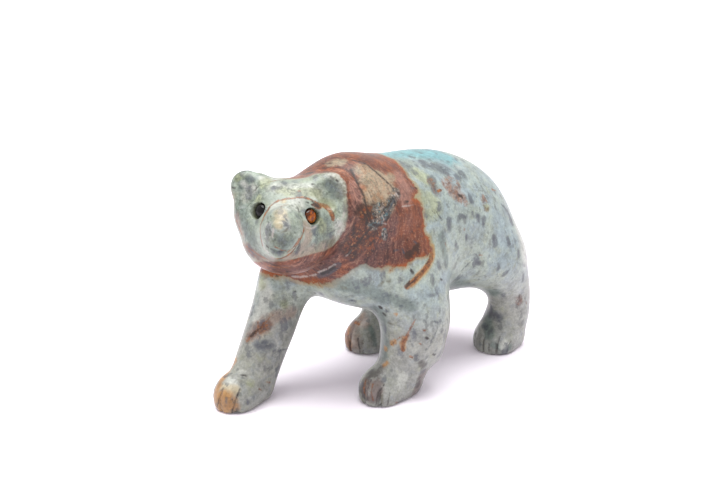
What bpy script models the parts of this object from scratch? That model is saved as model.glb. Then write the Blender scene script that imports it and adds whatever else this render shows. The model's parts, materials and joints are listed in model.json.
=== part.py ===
"""Walking bear carved from one piece of turquoise stone, with two round stones for eyes.

The carving is one closed solid. Rounded masses for the trunk, neck, head and legs melt into one
form, the shallow carving is pressed into that form, and a net of faces is laid over it. The soles
are then cut flat at the ground and the two eye sockets are drilled.

Lengths are written in millimetres and become metres when a mesh is made. The bear faces -Y, its
left side is +X and it stands on Z = 0. X = 0 is the middle of the trunk while the form is drawn,
and FOOTPRINT_MIDDLE moves it so that the origin ends under the middle of the finished carving.
"""
import math
from collections import namedtuple

import bmesh
import bpy
import numpy as np

MM = 0.001

# Driving dimensions
TRUNK_R = 25.4
HEAD_R = 19.2
LEG_R = 9.0
TRACK = 18.8
SHOULDER_Z = 44.0
HIP_Z = 38.5
EYE_D = 5.0
SOCKET_D = 7.1
SOCKET_GAP = 0.3
FOOTPRINT_MIDDLE = np.array((2.44, -14.03, 0.0))

# Widths over which neighbouring masses melt together, or a hollow melts into the form
TRUNK_BLEND = 21.0
LEG_BLEND = 18.0
FOOT_BLEND = 7.0
HEAD_BLEND = 9.0
EAR_BLEND = 7.8
THROAT_BLEND = 6.0
NAPE_BLEND = 21.0
CALF_BLEND = 7.0
TAIL_BLEND = 7.0
MUZZLE_BLEND = 7.0
NOSE_BLEND = 1.6
CUP_BLEND = 4.0

# Heights between which the fold round the neck opens from the throat's width to the nape's
THROAT_Z = 56.0
NAPE_Z = 76.0

# Net of faces: its cell, the cells in one block, the box it fills and the triangles kept
NET_STEP = 0.8
BLOCK = 8
NET_LOW = np.array((-42.0, -92.0, -9.0))
NET_HIGH = np.array((48.0, 66.0, 104.0))
TRIANGLES = 8800

Mass = namedtuple("Mass", "centre radii")
Leg = namedtuple("Leg", "top top_radii bow mid_radii ankle ankle_radii foot toe_turn")
Foot = namedtuple("Foot", "toe_reach heel_reach height toe_radii heel_radii")
Eye = namedtuple("Eye", "name side height colour roughness")


def trunk_masses():
    """Rump, barrel, shoulder hump and chest, in half widths of the trunk."""
    r = TRUNK_R
    return (
        Mass((0, 0.94 * r, 2.12 * r), (1.07 * r, 1.11 * r, 1.01 * r)),
        Mass((0, 0.09 * r, 2.37 * r), (1.00 * r, 1.44 * r, 1.11 * r)),
        Mass((0, -0.94 * r, 2.70 * r), (0.80 * r, 0.90 * r, 0.77 * r)),
        Mass((0, -1.14 * r, 2.05 * r), (0.78 * r, 0.70 * r, 0.70 * r)),
    )


NECK_ROOT = Mass((-1.0, -36.5, 71.6), (0.76 * TRUNK_R, 0.63 * TRUNK_R, 0.78 * TRUNK_R))

# The far shoulder, hidden by the head, carries the stretched front leg into the trunk
RIGHT_SHOULDER = Mass((-13.5, -33.0, 58.0), (11.0, 13.0, 12.0))

STUB_TAIL = Mass((0, 49.2, 57.0), (4.0, 3.8, 6.5))

HEAD_CENTRE = np.array((-2.5, -59.4, 74.5))
HEAD_YAW = math.radians(42.5)
HEAD_PITCH = math.radians(-8.0)
HEAD_ROLL = math.radians(1.2)

FRONT_FOOT = Foot(8.4, -0.7, 4.1, (8.5, 9.3, 9.1), (7.7, 8.4, 7.1))
PLANTED_FOOT = FRONT_FOOT._replace(heel_reach=1.5)
HIND_FOOT = Foot(6.7, 0.2, 3.8, (9.5, 9.5, 9.8), (8.5, 8.5, 7.3))
FRONT_ANKLE_Z = 8.1
HIND_ANKLE_Z = 13.6

# Places are in the bear's frame, radii across and along in leg radii, bows sideways and back
LEGS = {
    "left_front": Leg(
        (19.5, -18.2, SHOULDER_Z), (1.16, 1.69), (3.5, 2.6), (1.39, 1.47),
        (TRACK, -23.3, FRONT_ANKLE_Z), (0.88, 1.09), PLANTED_FOOT, -0.05),
    "right_front": Leg(
        (-20.6, -45.8, SHOULDER_Z), (0.97, 1.15), (0.6, 1.2), (1.01, 1.20),
        (-TRACK + 0.9, -65.8, FRONT_ANKLE_Z), (0.87, 1.10), FRONT_FOOT, 0.17),
    "left_hind": Leg(
        (19.0, 32.6, HIP_Z), (1.52, 1.92), (2.4, 3.8), (0.95, 1.20),
        (TRACK, 45.4, HIND_ANKLE_Z), (1.11, 1.13), HIND_FOOT, 0.05),
    "right_hind": Leg(
        (-15.8, 16.2, HIP_Z), (1.45, 1.78), (-0.2, 2.4), (0.96, 1.20),
        (-TRACK - 0.9, 6.4, HIND_ANKLE_Z), (0.93, 1.06), HIND_FOOT, -0.05),
}

# The upright front leg ends in a fuller calf above its heel
LEFT_CALF = Mass((TRACK + 2.0, -11.7, 18.0), (1.05 * LEG_R, 0.72 * LEG_R, 0.95 * LEG_R))

TOE_SPACING = 5.2
GROOVE_DEPTH = 0.75
GROOVE_WIDTH = 0.55
GROOVE_TOP = 9.0

MOUTH_DEPTH = 0.7
MOUTH_WIDTH = 0.6
MOUTH_HALF = 5.0

EYES = (
    Eye("left_eye", 9.8, 1.4, (0.42, 0.13, 0.02), 0.12),
    Eye("right_eye", -9.5, 2.5, (0.02, 0.017, 0.013), 0.12),
)
EYE_FLATTENING = 0.6
EYE_SINK = 1.8
EYE_SPLAY = math.radians(40.0)
EYE_LIFT = math.radians(8.0)
SEAT_SAMPLES = 400
DRILL_CLEAR = 3.0

STONE_COLOUR = (0.44, 0.55, 0.50)
STONE_ROUGHNESS = 0.38


def turn(yaw, pitch=0.0, roll=0.0):
    """Frame whose columns are left, back and up. Yaw turns the front to the left, pitch dips it."""
    cy, sy = math.cos(yaw), math.sin(yaw)
    cp, sp = math.cos(pitch), math.sin(pitch)
    cr, sr = math.cos(roll), math.sin(roll)
    about_z = np.array(((cy, -sy, 0), (sy, cy, 0), (0, 0, 1)))
    about_x = np.array(((1, 0, 0), (0, cp, -sp), (0, sp, cp)))
    about_y = np.array(((cr, 0, sr), (0, 1, 0), (-sr, 0, cr)))
    return about_z @ about_x @ about_y


HEAD_FRAME = turn(HEAD_YAW, HEAD_PITCH, HEAD_ROLL)


def on_head(x, y, z):
    """Place given in the head's own frame, in the bear's frame."""
    return HEAD_CENTRE + HEAD_FRAME @ np.array((x, y, z))


def blend(a, b, width):
    """The nearer of two forms, melted together where they differ by less than the width."""
    share = np.maximum(width - np.abs(a - b), 0) / width
    return np.minimum(a, b) - share ** 3 * width / 6


def pressed(form, tool, width):
    """The form with the tool's shape taken out of it."""
    return -blend(-form, tool, width)


def ramp(value, low, high):
    """0 below low, 1 above high, smooth between them."""
    t = np.clip((value - low) / (high - low), 0, 1)
    return t * t * (3 - 2 * t)


def soft_unit(t, ease=0.3):
    """t kept between 0 and 1 with eased ends, so that swept forms show no crease there."""
    low = np.maximum(ease - np.abs(t), 0)
    t = np.maximum(t, 0) + low * low / (4 * ease)
    high = np.maximum(ease - np.abs(t - 1), 0)
    return np.minimum(t, 1) - high * high / (4 * ease)


def ellipsoid(offset, radii):
    """Near distance to an ellipsoid, negative inside."""
    reach = np.sqrt(((offset / radii) ** 2).sum(-1))
    slope = np.sqrt(((offset / (radii * radii)) ** 2).sum(-1))
    return reach * (reach - 1) / np.maximum(slope, 1e-9)


def lump(points, mass, frame=None):
    """Near distance to one rounded mass."""
    offset = points - np.array(mass.centre, float)
    if frame is not None:
        offset = offset @ frame
    return ellipsoid(offset, np.array(mass.radii, float))


def swept(points, start, end, frame):
    """Near distance to a mass that travels and grows from start to end."""
    a, b = np.array(start.centre, float), np.array(end.centre, float)
    ra, rb = np.array(start.radii, float), np.array(end.radii, float)
    way = b - a
    t = soft_unit((points - a) @ way / (way @ way))[..., None]
    return ellipsoid((points - a - t * way) @ frame, ra + t * (rb - ra))


def full_radii(pair):
    """Radii across, along and upright of a round section given by its first two, in leg radii."""
    return LEG_R * np.array((pair[0], pair[1], (pair[0] + pair[1]) / 2))


def limb(points, leg):
    """Near distance to a leg, whose level sections follow a curve from the hip to the ankle."""
    top, ankle = np.array(leg.top, float), np.array(leg.ankle, float)
    mid = (top + ankle) / 2 + np.array((leg.bow[0], leg.bow[1], 0))
    t = soft_unit((top[2] - points[..., 2]) / (top[2] - ankle[2]))[..., None]
    w_top = 2 * t * t - 3 * t + 1
    w_mid = 4 * t - 4 * t * t
    w_low = 2 * t * t - t
    top_radii = LEG_R * np.array((leg.top_radii[0], leg.top_radii[1], leg.top_radii[1]))
    middle = top * w_top + mid * w_mid + ankle * w_low
    radii = top_radii * w_top + full_radii(leg.mid_radii) * w_mid + full_radii(leg.ankle_radii) * w_low
    return ellipsoid(points - middle, radii)


def foot_offsets(points, leg):
    """Points seen from the foot: across, forward of the ankle and up."""
    offset = (points - np.array((leg.ankle[0], leg.ankle[1], 0))) @ turn(leg.toe_turn)
    return offset[..., 0], -offset[..., 1], offset[..., 2]


def foot(points, leg):
    """Near distance to the foot, from heel to toes."""
    shape = leg.foot
    frame = turn(leg.toe_turn)
    under = np.array((leg.ankle[0], leg.ankle[1], shape.height))
    heel = Mass(under + frame @ np.array((0, shape.heel_reach, 0)), shape.heel_radii)
    toes = Mass(under + frame @ np.array((0, -shape.toe_reach, 0)), shape.toe_radii)
    return swept(points, heel, toes, frame)


def toe_grooves(points, leg):
    """Depth of the cuts that part the toes, over the front of the foot."""
    across, forward, height = foot_offsets(points, leg)
    reach = leg.foot.toe_reach
    face = ramp(forward, reach * 0.55, reach * 1.05) * (1 - ramp(height, 0.6 * GROOVE_TOP, GROOVE_TOP))
    depth = np.zeros(across.shape)
    for place in (-TOE_SPACING, 0.0, TOE_SPACING):
        spread = place * (0.75 + 0.02 * forward)
        depth = np.maximum(depth, np.exp(-((across - spread) / GROOVE_WIDTH) ** 2))
    return GROOVE_DEPTH * depth * face


def head(points):
    """Near distance to the head with its ears, nose and mouth."""
    r = HEAD_R
    skull = Mass(on_head(0, 0, 0), (r, 0.69 * r, 0.64 * r))
    cheeks = Mass(on_head(0, -0.15 * r, -0.49 * r), (0.79 * r, 0.67 * r, 0.60 * r))
    bridge = Mass(on_head(0, -0.47 * r, -0.31 * r), (0.59 * r, 0.47 * r, 0.52 * r))
    snout = Mass(on_head(0, -1.00 * r, -0.19 * r), (0.345 * r, 0.30 * r, 0.48 * r))
    nose = Mass(on_head(0, -1.28 * r, -0.05 * r), (0.16 * r, 0.09 * r, 0.12 * r))
    form = blend(lump(points, skull, HEAD_FRAME), lump(points, cheeks, HEAD_FRAME), HEAD_BLEND)
    form = blend(form, swept(points, bridge, snout, HEAD_FRAME), MUZZLE_BLEND)
    form = blend(form, lump(points, nose, HEAD_FRAME), NOSE_BLEND)
    for side in (-1, 1):
        form = blend(form, ear(points, side), EAR_BLEND)
        form = pressed(form, ear_cup(points, side), CUP_BLEND)
    return form + mouth_cut(points)


def eye_frame(eye):
    """Frame of an eye: across it, into the head and up."""
    return HEAD_FRAME @ turn(math.copysign(EYE_SPLAY, eye.side), -EYE_LIFT)


def eye_seat(eye):
    """Where the eye's axis leaves the face."""
    forward = np.linspace(0.0, 1.3 * HEAD_R, SEAT_SAMPLES)
    line = np.array([on_head(eye.side, -y, eye.height) for y in forward])
    outside = np.nonzero(head(line) > 0)[0]
    return line[outside[0]]


def ear(points, side):
    """Near distance to one rounded ear."""
    r = HEAD_R
    root = Mass(on_head(side * 0.65 * r, 0.01 * r, 0.44 * r), (0.33 * r, 0.23 * r, 0.33 * r))
    tip = Mass(on_head(side * 0.78 * r, 0.01 * r, 0.50 * r), (0.295 * r, 0.165 * r, 0.295 * r))
    return swept(points, root, tip, HEAD_FRAME)


def ear_cup(points, side):
    """Near distance to the shallow cup on the front of an ear."""
    r = HEAD_R
    cup = Mass(on_head(side * 0.75 * r, -0.31 * r, 0.43 * r), (0.23 * r, 0.15 * r, 0.33 * r))
    return lump(points, cup, HEAD_FRAME)


def mouth_cut(points):
    """Depth of the mouth line round the front of the snout."""
    offset = (points - HEAD_CENTRE) @ HEAD_FRAME
    across, forward, up = offset[..., 0], -offset[..., 1], offset[..., 2]
    line = -0.47 * HEAD_R + 0.07 * across ** 2
    face = ramp(forward, 0.85 * HEAD_R, HEAD_R) * (1 - ramp(np.abs(across), 0.7 * MOUTH_HALF, MOUTH_HALF))
    return MOUTH_DEPTH * face * np.exp(-((up - line) / MOUTH_WIDTH) ** 2)


SEATS = {eye.name: eye_seat(eye) for eye in EYES}


def neck(points):
    """Near distance to the thick neck between the trunk and the back of the head."""
    r = HEAD_R
    nape = Mass(on_head(0, 0.31 * r, -0.10 * r), (0.81 * r, 0.73 * r, 0.62 * r))
    return swept(points, NECK_ROOT, nape, HEAD_FRAME)


def bear_form(points):
    """Near distance to the whole carving before its soles are cut, negative inside."""
    masses = trunk_masses()
    form = lump(points, masses[0])
    for mass in masses[1:]:
        form = blend(form, lump(points, mass), TRUNK_BLEND)
    form = blend(form, lump(points, RIGHT_SHOULDER), LEG_BLEND)
    form = blend(form, lump(points, STUB_TAIL), TAIL_BLEND)
    for leg in LEGS.values():
        shape = blend(limb(points, leg), foot(points, leg), FOOT_BLEND)
        form = blend(form, shape + toe_grooves(points, leg), LEG_BLEND)
    form = blend(form, lump(points, LEFT_CALF), CALF_BLEND)
    fold = THROAT_BLEND + (NAPE_BLEND - THROAT_BLEND) * ramp(points[..., 2], THROAT_Z, NAPE_Z)
    form = blend(form, neck(points), fold)
    return blend(form, head(points), HEAD_BLEND)


def sampled(form, low, high, step):
    """The form's values on a grid, worked out only in the blocks of cells that its surface crosses."""
    side = BLOCK * step
    blocks = np.ceil((high - low) / side).astype(int)
    corner = np.stack(np.meshgrid(*(np.arange(n) for n in blocks), indexing="ij"), -1)
    rough = form(low + (corner + 0.5) * side)
    values = np.repeat(np.repeat(np.repeat(rough, BLOCK, 0), BLOCK, 1), BLOCK, 2)
    inner = np.stack(np.meshgrid(*(np.arange(BLOCK),) * 3, indexing="ij"), -1)
    for i, j, k in np.argwhere(np.abs(rough) < 1.6 * side):
        start = np.array((i, j, k)) * BLOCK
        end = start + BLOCK
        values[start[0]:end[0], start[1]:end[1], start[2]:end[2]] = form(low + (start + inner) * step)
    return values


def crossing_points(values, cells):
    """In each cell, the mean of the points where the surface crosses the cell's edges."""
    total = np.zeros((len(cells), 3))
    count = np.zeros(len(cells))
    for corner in np.ndindex(2, 2, 2):
        for axis in range(3):
            if corner[axis]:
                continue
            other = list(corner)
            other[axis] = 1
            a = values[tuple((cells + corner).T)]
            b = values[tuple((cells + other).T)]
            crossed = (a < 0) != (b < 0)
            t = np.where(crossed, a / np.where(crossed, a - b, 1), 0)
            point = cells + np.array(corner) + t[:, None] * (np.array(other) - corner)
            total[crossed] += point[crossed]
            count[crossed] += 1
    return total / count[:, None]


def surface_net(values, low, step):
    """Vertices and four-sided faces of the zero surface of gridded values."""
    inside = values < 0
    cell_shape = tuple(n - 1 for n in values.shape)
    corners = [inside[i:i + cell_shape[0], j:j + cell_shape[1], k:k + cell_shape[2]]
               for i, j, k in np.ndindex(2, 2, 2)]
    full = np.sum(corners, axis=0)
    cells = np.argwhere((full > 0) & (full < 8))
    number = np.full(cell_shape, -1)
    number[tuple(cells.T)] = np.arange(len(cells))
    vertices = low + crossing_points(values, cells) * step
    faces = []
    for axis in range(3):
        ahead = np.roll(inside, -1, axis)
        edges = np.argwhere(inside != ahead)
        u, v = ((axis + 1) % 3, (axis + 2) % 3)
        ring = []
        for du, dv in ((-1, -1), (0, -1), (0, 0), (-1, 0)):
            cell = edges.copy()
            cell[:, u] += du
            cell[:, v] += dv
            ring.append(number[tuple(cell.T)])
        ring = np.stack(ring, 1)
        leaving = inside[tuple(edges.T)]
        ring[~leaving] = ring[~leaving][:, ::-1]
        faces.append(ring)
    return vertices, np.concatenate(faces)


def in_metres(point):
    """A point of the drawn form in the finished object's frame."""
    return (np.asarray(point) - FOOTPRINT_MIDDLE) * MM


def plain_material(name, colour, roughness):
    """A Principled material with a plain colour."""
    material = bpy.data.materials.new(name)
    material.use_nodes = True
    shader = material.node_tree.nodes["Principled BSDF"]
    shader.inputs["Base Color"].default_value = (*colour, 1.0)
    shader.inputs["Roughness"].default_value = roughness
    shader.inputs["Metallic"].default_value = 0.0
    return material


def new_object(name, mesh, material=None):
    """An object in the scene, with its mesh smooth."""
    obj = bpy.data.objects.new(name, mesh)
    bpy.context.scene.collection.objects.link(obj)
    mesh.shade_smooth()
    if material:
        mesh.materials.append(material)
    return obj


def new_cutter(name, mesh):
    """A shape that is only cut away from another."""
    obj = new_object(name, mesh)
    obj.hide_render = True
    obj.display_type = "WIRE"
    return obj


def add_cut(obj, cutter):
    """Take the cutter's shape out of the object."""
    cut = obj.modifiers.new(cutter.name, "BOOLEAN")
    cut.operation = "DIFFERENCE"
    cut.object = cutter


def carving_mesh():
    """The net of faces over the blended form, with fewer triangles where it is flat."""
    values = sampled(bear_form, NET_LOW, NET_HIGH, NET_STEP)
    vertices, faces = surface_net(values, NET_LOW, NET_STEP)
    mesh = bpy.data.meshes.new("bear_body")
    mesh.from_pydata(in_metres(vertices).tolist(), [], faces.tolist())
    return mesh


def ground_cutter():
    """A block whose top is the ground."""
    mesh = bpy.data.meshes.new("ground_cut")
    shape = bmesh.new()
    bmesh.ops.create_cube(shape, size=1.0)
    bmesh.ops.scale(shape, vec=(0.2, 0.3, 0.04), verts=shape.verts)
    bmesh.ops.translate(shape, vec=(0, 0, -0.02), verts=shape.verts)
    shape.to_mesh(mesh)
    shape.free()
    return new_cutter("ground_cut", mesh)


def placed(shape, frame, centre):
    """Turn a shape from its own axes, with +Z out of the face, to its place on the bear."""
    out = -frame[:, 1]
    across = frame[:, 0]
    up = np.cross(out, across)
    axes = np.stack((across, up, out), 1)
    for vertex in shape.verts:
        vertex.co = in_metres(centre + axes @ np.array(vertex.co))


def socket_cutter(eye):
    """The drill that makes an eye socket, a cone through the face that is narrower inside."""
    frame, seat = eye_frame(eye), SEATS[eye.name]
    depth = EYE_SINK + EYE_FLATTENING * EYE_D / 2 + SOCKET_GAP
    floor = EYE_D / 2 + SOCKET_GAP
    widening = (SOCKET_D / 2 - floor) / depth
    shape = bmesh.new()
    bmesh.ops.create_cone(shape, cap_ends=True, segments=32, radius1=floor,
                          radius2=SOCKET_D / 2 + widening * DRILL_CLEAR, depth=depth + DRILL_CLEAR)
    bmesh.ops.translate(shape, vec=(0, 0, (DRILL_CLEAR - depth) / 2), verts=shape.verts)
    placed(shape, frame, seat)
    mesh = bpy.data.meshes.new(eye.name + "_socket")
    shape.to_mesh(mesh)
    shape.free()
    return new_cutter(eye.name + "_socket", mesh)


def eye_stone(eye):
    """A flattened round stone that sits in its socket."""
    frame, seat = eye_frame(eye), SEATS[eye.name]
    out = -frame[:, 1]
    shape = bmesh.new()
    bmesh.ops.create_uvsphere(shape, u_segments=24, v_segments=12, radius=EYE_D / 2)
    bmesh.ops.scale(shape, vec=(1, 1, EYE_FLATTENING), verts=shape.verts)
    placed(shape, frame, seat - EYE_SINK * out)
    mesh = bpy.data.meshes.new(eye.name)
    shape.to_mesh(mesh)
    shape.free()
    return new_object(eye.name, mesh, plain_material(eye.name, eye.colour, eye.roughness))


def carving(cutters):
    """The whole stone bear, thinned to its triangle budget and then cut."""
    mesh = carving_mesh()
    bear = new_object("bear_body", mesh, plain_material("turquoise_stone", STONE_COLOUR, STONE_ROUGHNESS))
    thin = bear.modifiers.new("fewer_faces", "DECIMATE")
    thin.ratio = TRIANGLES / (2 * len(mesh.polygons))
    for cutter in cutters:
        add_cut(bear, cutter)
    return bear


def main():
    for obj in list(bpy.data.objects):
        bpy.data.objects.remove(obj, do_unlink=True)
    carving([ground_cutter()] + [socket_cutter(eye) for eye in EYES])
    for eye in EYES:
        eye_stone(eye)


main()
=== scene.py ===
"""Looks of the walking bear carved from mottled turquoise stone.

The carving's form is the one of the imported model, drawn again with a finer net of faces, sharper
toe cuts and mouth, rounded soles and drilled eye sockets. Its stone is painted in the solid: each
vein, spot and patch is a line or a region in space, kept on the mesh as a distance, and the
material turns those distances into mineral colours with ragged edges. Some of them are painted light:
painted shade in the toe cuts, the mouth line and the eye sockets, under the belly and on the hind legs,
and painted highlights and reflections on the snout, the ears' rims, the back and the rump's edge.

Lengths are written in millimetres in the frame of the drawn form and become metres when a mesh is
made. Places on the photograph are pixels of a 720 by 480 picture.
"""
import json
import math
from collections import namedtuple

import bmesh
import bpy
import numpy as np
from mathutils import Matrix, Vector, kdtree
from mathutils.bvhtree import BVHTree

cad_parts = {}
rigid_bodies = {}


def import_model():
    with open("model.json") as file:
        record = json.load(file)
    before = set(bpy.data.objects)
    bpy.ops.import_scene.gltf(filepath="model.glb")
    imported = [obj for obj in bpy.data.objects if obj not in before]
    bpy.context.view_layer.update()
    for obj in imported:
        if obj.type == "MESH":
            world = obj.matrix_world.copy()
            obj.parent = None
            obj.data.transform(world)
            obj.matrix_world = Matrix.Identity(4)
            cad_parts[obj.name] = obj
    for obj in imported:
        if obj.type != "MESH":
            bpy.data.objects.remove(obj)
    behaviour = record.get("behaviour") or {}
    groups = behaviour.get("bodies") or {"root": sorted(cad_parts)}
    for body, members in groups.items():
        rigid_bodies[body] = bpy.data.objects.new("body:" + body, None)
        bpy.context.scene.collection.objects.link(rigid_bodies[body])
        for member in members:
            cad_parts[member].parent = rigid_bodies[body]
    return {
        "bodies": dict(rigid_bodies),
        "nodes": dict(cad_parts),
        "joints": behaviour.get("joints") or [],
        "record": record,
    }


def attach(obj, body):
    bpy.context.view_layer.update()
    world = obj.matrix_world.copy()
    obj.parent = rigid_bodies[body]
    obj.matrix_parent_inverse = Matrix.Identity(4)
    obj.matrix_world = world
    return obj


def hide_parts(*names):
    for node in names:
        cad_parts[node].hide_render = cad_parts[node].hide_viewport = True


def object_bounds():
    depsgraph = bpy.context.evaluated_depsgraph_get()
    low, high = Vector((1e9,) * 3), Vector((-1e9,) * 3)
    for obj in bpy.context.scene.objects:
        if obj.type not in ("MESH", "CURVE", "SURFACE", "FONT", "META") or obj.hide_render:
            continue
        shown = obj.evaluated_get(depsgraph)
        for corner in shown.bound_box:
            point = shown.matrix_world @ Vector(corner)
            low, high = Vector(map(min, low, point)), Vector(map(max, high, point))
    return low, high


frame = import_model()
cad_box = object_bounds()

MM = 0.001

# Keeps a division away from zero
SMALLEST = 1e-9

# Driving dimensions of the form
TRUNK_R = 25.4
HEAD_R = 19.2
LEG_R = 9.0
TRACK = 18.8
SHOULDER_Z = 44.0
HIP_Z = 38.5
EYE_D = 5.0
SOCKET_GAP = 0.3
FOOTPRINT_MIDDLE = np.array((2.44, -14.03, 0.0))

# Widths over which neighbouring masses melt together, or a hollow melts into the form
TRUNK_BLEND = 21.0
LEG_BLEND = 18.0
FOOT_BLEND = 7.0
HEAD_BLEND = 9.0
EAR_BLEND = 7.8
THROAT_BLEND = 6.0
NAPE_BLEND = 21.0
CALF_BLEND = 7.0
TAIL_BLEND = 7.0
MUZZLE_BLEND = 7.0
NOSE_BLEND = 1.6
CUP_BLEND = 4.0
SOLE_BLEND = 1.6

# Heights between which the fold round the neck opens from the throat's width to the nape's
THROAT_Z = 56.0
NAPE_Z = 76.0

# Net of faces: its cell, the cells along one block, how many blocks' sides from the surface the cells
# are worked out one by one, and the box that the net fills
NET_STEP = 1.1
BLOCK = 8
BLOCK_REACH = 1.6
NET_LOW = np.array((-42.0, -92.0, -4.4))
NET_HIGH = np.array((48.0, 66.0, 104.0))

Mass = namedtuple("Mass", "centre radii")
Leg = namedtuple("Leg", "top top_radii bow mid_radii ankle ankle_radii foot toe_turn")
Foot = namedtuple("Foot", "toe_reach heel_reach height toe_radii heel_radii")
Eye = namedtuple("Eye", "node side height")


def trunk_masses():
    """Rump, barrel, shoulder hump and chest, in half widths of the trunk."""
    r = TRUNK_R
    return (
        Mass((0, 0.94 * r, 2.12 * r), (1.07 * r, 1.11 * r, 1.01 * r)),
        Mass((0, 0.09 * r, 2.37 * r), (1.00 * r, 1.44 * r, 1.11 * r)),
        Mass((0, -0.94 * r, 2.70 * r), (0.80 * r, 0.90 * r, 0.77 * r)),
        Mass((0, -1.14 * r, 2.05 * r), (0.78 * r, 0.70 * r, 0.70 * r)),
    )


NECK_ROOT = Mass((-1.0, -36.5, 71.6), (0.76 * TRUNK_R, 0.63 * TRUNK_R, 0.78 * TRUNK_R))

# The far shoulder, hidden by the head, carries the stretched front leg into the trunk
RIGHT_SHOULDER = Mass((-13.5, -33.0, 58.0), (11.0, 13.0, 12.0))

STUB_TAIL = Mass((0, 49.2, 57.0), (4.0, 3.8, 6.5))

# The head: its middle, and its turn, dip and tilt
HEAD_CENTRE = np.array((-2.5, -59.4, 74.5))
HEAD_YAW = math.radians(42.5)
HEAD_PITCH = math.radians(-8.0)
HEAD_ROLL = math.radians(1.2)

# The feet, and how high above the floor they meet the legs
FRONT_FOOT = Foot(8.4, -0.7, 4.1, (8.5, 9.3, 9.1), (7.7, 8.4, 7.1))
PLANTED_FOOT = FRONT_FOOT._replace(heel_reach=1.5)
HIND_FOOT = Foot(6.7, 0.2, 3.8, (9.5, 9.5, 9.8), (8.5, 8.5, 7.3))
FRONT_ANKLE_Z = 8.1
HIND_ANKLE_Z = 13.6

# Places are in the bear's frame, radii across and along in leg radii, bows sideways and back
LEGS = {
    "left_front": Leg(
        (19.5, -18.2, SHOULDER_Z), (1.16, 1.69), (3.5, 2.6), (1.39, 1.47),
        (TRACK, -23.3, FRONT_ANKLE_Z), (0.88, 1.09), PLANTED_FOOT, -0.05),
    "right_front": Leg(
        (-20.6, -45.8, SHOULDER_Z), (0.97, 1.15), (0.6, 1.2), (1.01, 1.20),
        (-TRACK + 0.9, -65.8, FRONT_ANKLE_Z), (0.87, 1.10), FRONT_FOOT, 0.17),
    "left_hind": Leg(
        (19.0, 32.6, HIP_Z), (1.52, 1.92), (2.4, 3.8), (0.95, 1.20),
        (TRACK, 45.4, HIND_ANKLE_Z), (1.11, 1.13), HIND_FOOT, 0.05),
    "right_hind": Leg(
        (-15.8, 16.2, HIP_Z), (1.45, 1.78), (-0.2, 2.4), (0.96, 1.20),
        (-TRACK - 0.9, 6.4, HIND_ANKLE_Z), (0.93, 1.06), HIND_FOOT, -0.05),
}

# The upright front leg ends in a fuller calf above its heel
LEFT_CALF = Mass((TRACK + 2.0, -11.7, 18.0), (1.05 * LEG_R, 0.72 * LEG_R, 0.95 * LEG_R))

# Cuts between the toes: how far apart, how deep and wide and how high they are, from what share of their
# height they fade, between which shares of the toes' reach they deepen, and how they fan out forwards
TOE_SPACING = 5.2
GROOVE_DEPTH = 1.0
GROOVE_WIDTH = 0.45
GROOVE_TOP = 9.0
GROOVE_FADE = 0.6
GROOVE_START = 0.55
GROOVE_FULL = 1.05
TOE_NARROW = 0.75
TOE_FAN = 0.02

# The mouth line: its depth, width and half length, from what share of that it fades, how far under the
# head's middle and from how far forward it runs, in head radii, and how its ends rise
MOUTH_DEPTH = 0.35
MOUTH_WIDTH = 0.42
MOUTH_HALF = 3.6
MOUTH_FADE = 0.7
MOUTH_DROP = 0.47
MOUTH_FRONT = 0.85
MOUTH_RISE = 0.07

# The nose pad: its middle, half width and height, its foot, top and back in the head's frame, and the
# lengths over which it rises from the back, over its ledge and before it fades to its top
NOSE_SIDE = 0.8
NOSE_HALF = 2.4
NOSE_HEIGHT = 0.6
NOSE_FOOT = -2.7
NOSE_TOP = 4.5
NOSE_BACK = 18.0
NOSE_EASE = 4.0
LEDGE_EASE = 0.9
PAD_FULL = 1.6

# The eye stones: their places, flattening and sinking in, and how the drill that seats them turns
# outwards and up. The seat is looked for along this many places, up to this many head radii forward
LEFT_EYE = Eye("left_eye", 9.8, 1.4)
RIGHT_EYE = Eye("right_eye", -9.5, 2.5)
EYES = (LEFT_EYE, RIGHT_EYE)
EYE_FLATTENING = 0.6
EYE_SINK = 1.8
EYE_SPLAY = math.radians(40.0)
EYE_LIFT = math.radians(8.0)
SEAT_SAMPLES = 400
SEAT_REACH = 1.3

# The photograph's camera: its turn, drop and tilt, its place from the bear's frame, its lens and the
# picture's size in pixels. What it sees lies between two distances, in metres
CAMERA_TURN = 0.7742476
CAMERA_DROP = 0.3021749
CAMERA_TILT = 0.0068306
CAMERA_OFFSET = np.array((17.3235, -50.2210, 416.9537))
SENSOR_MM = 36.0
LENS_MM = 50.0
PHOTO_WIDTH = 720
PHOTO_HEIGHT = 480
NEAREST_SEEN = 0.01
FARTHEST_SEEN = 10.0


# Form of the carving

def turn(yaw, pitch=0.0, roll=0.0):
    """Frame whose columns are left, back and up. Yaw turns the front to the left, pitch dips it."""
    cy, sy = math.cos(yaw), math.sin(yaw)
    cp, sp = math.cos(pitch), math.sin(pitch)
    cr, sr = math.cos(roll), math.sin(roll)
    about_z = np.array(((cy, -sy, 0), (sy, cy, 0), (0, 0, 1)))
    about_x = np.array(((1, 0, 0), (0, cp, -sp), (0, sp, cp)))
    about_y = np.array(((cr, 0, sr), (0, 1, 0), (-sr, 0, cr)))
    return about_z @ about_x @ about_y


HEAD_FRAME = turn(HEAD_YAW, HEAD_PITCH, HEAD_ROLL)


def on_head(x, y, z):
    """Place given in the head's own frame, in the bear's frame."""
    return HEAD_CENTRE + HEAD_FRAME @ np.array((x, y, z))


def blend(a, b, width):
    """The nearer of two forms, melted together where they differ by less than the width."""
    share = np.maximum(width - np.abs(a - b), 0) / width
    return np.minimum(a, b) - share ** 3 * width / 6


def pressed(form, tool, width):
    """The form with the tool's shape taken out of it."""
    return -blend(-form, tool, width)


def ramp(value, low, high):
    """0 below low, 1 above high, smooth between them."""
    t = np.clip((value - low) / (high - low), 0, 1)
    return t * t * (3 - 2 * t)


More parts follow.
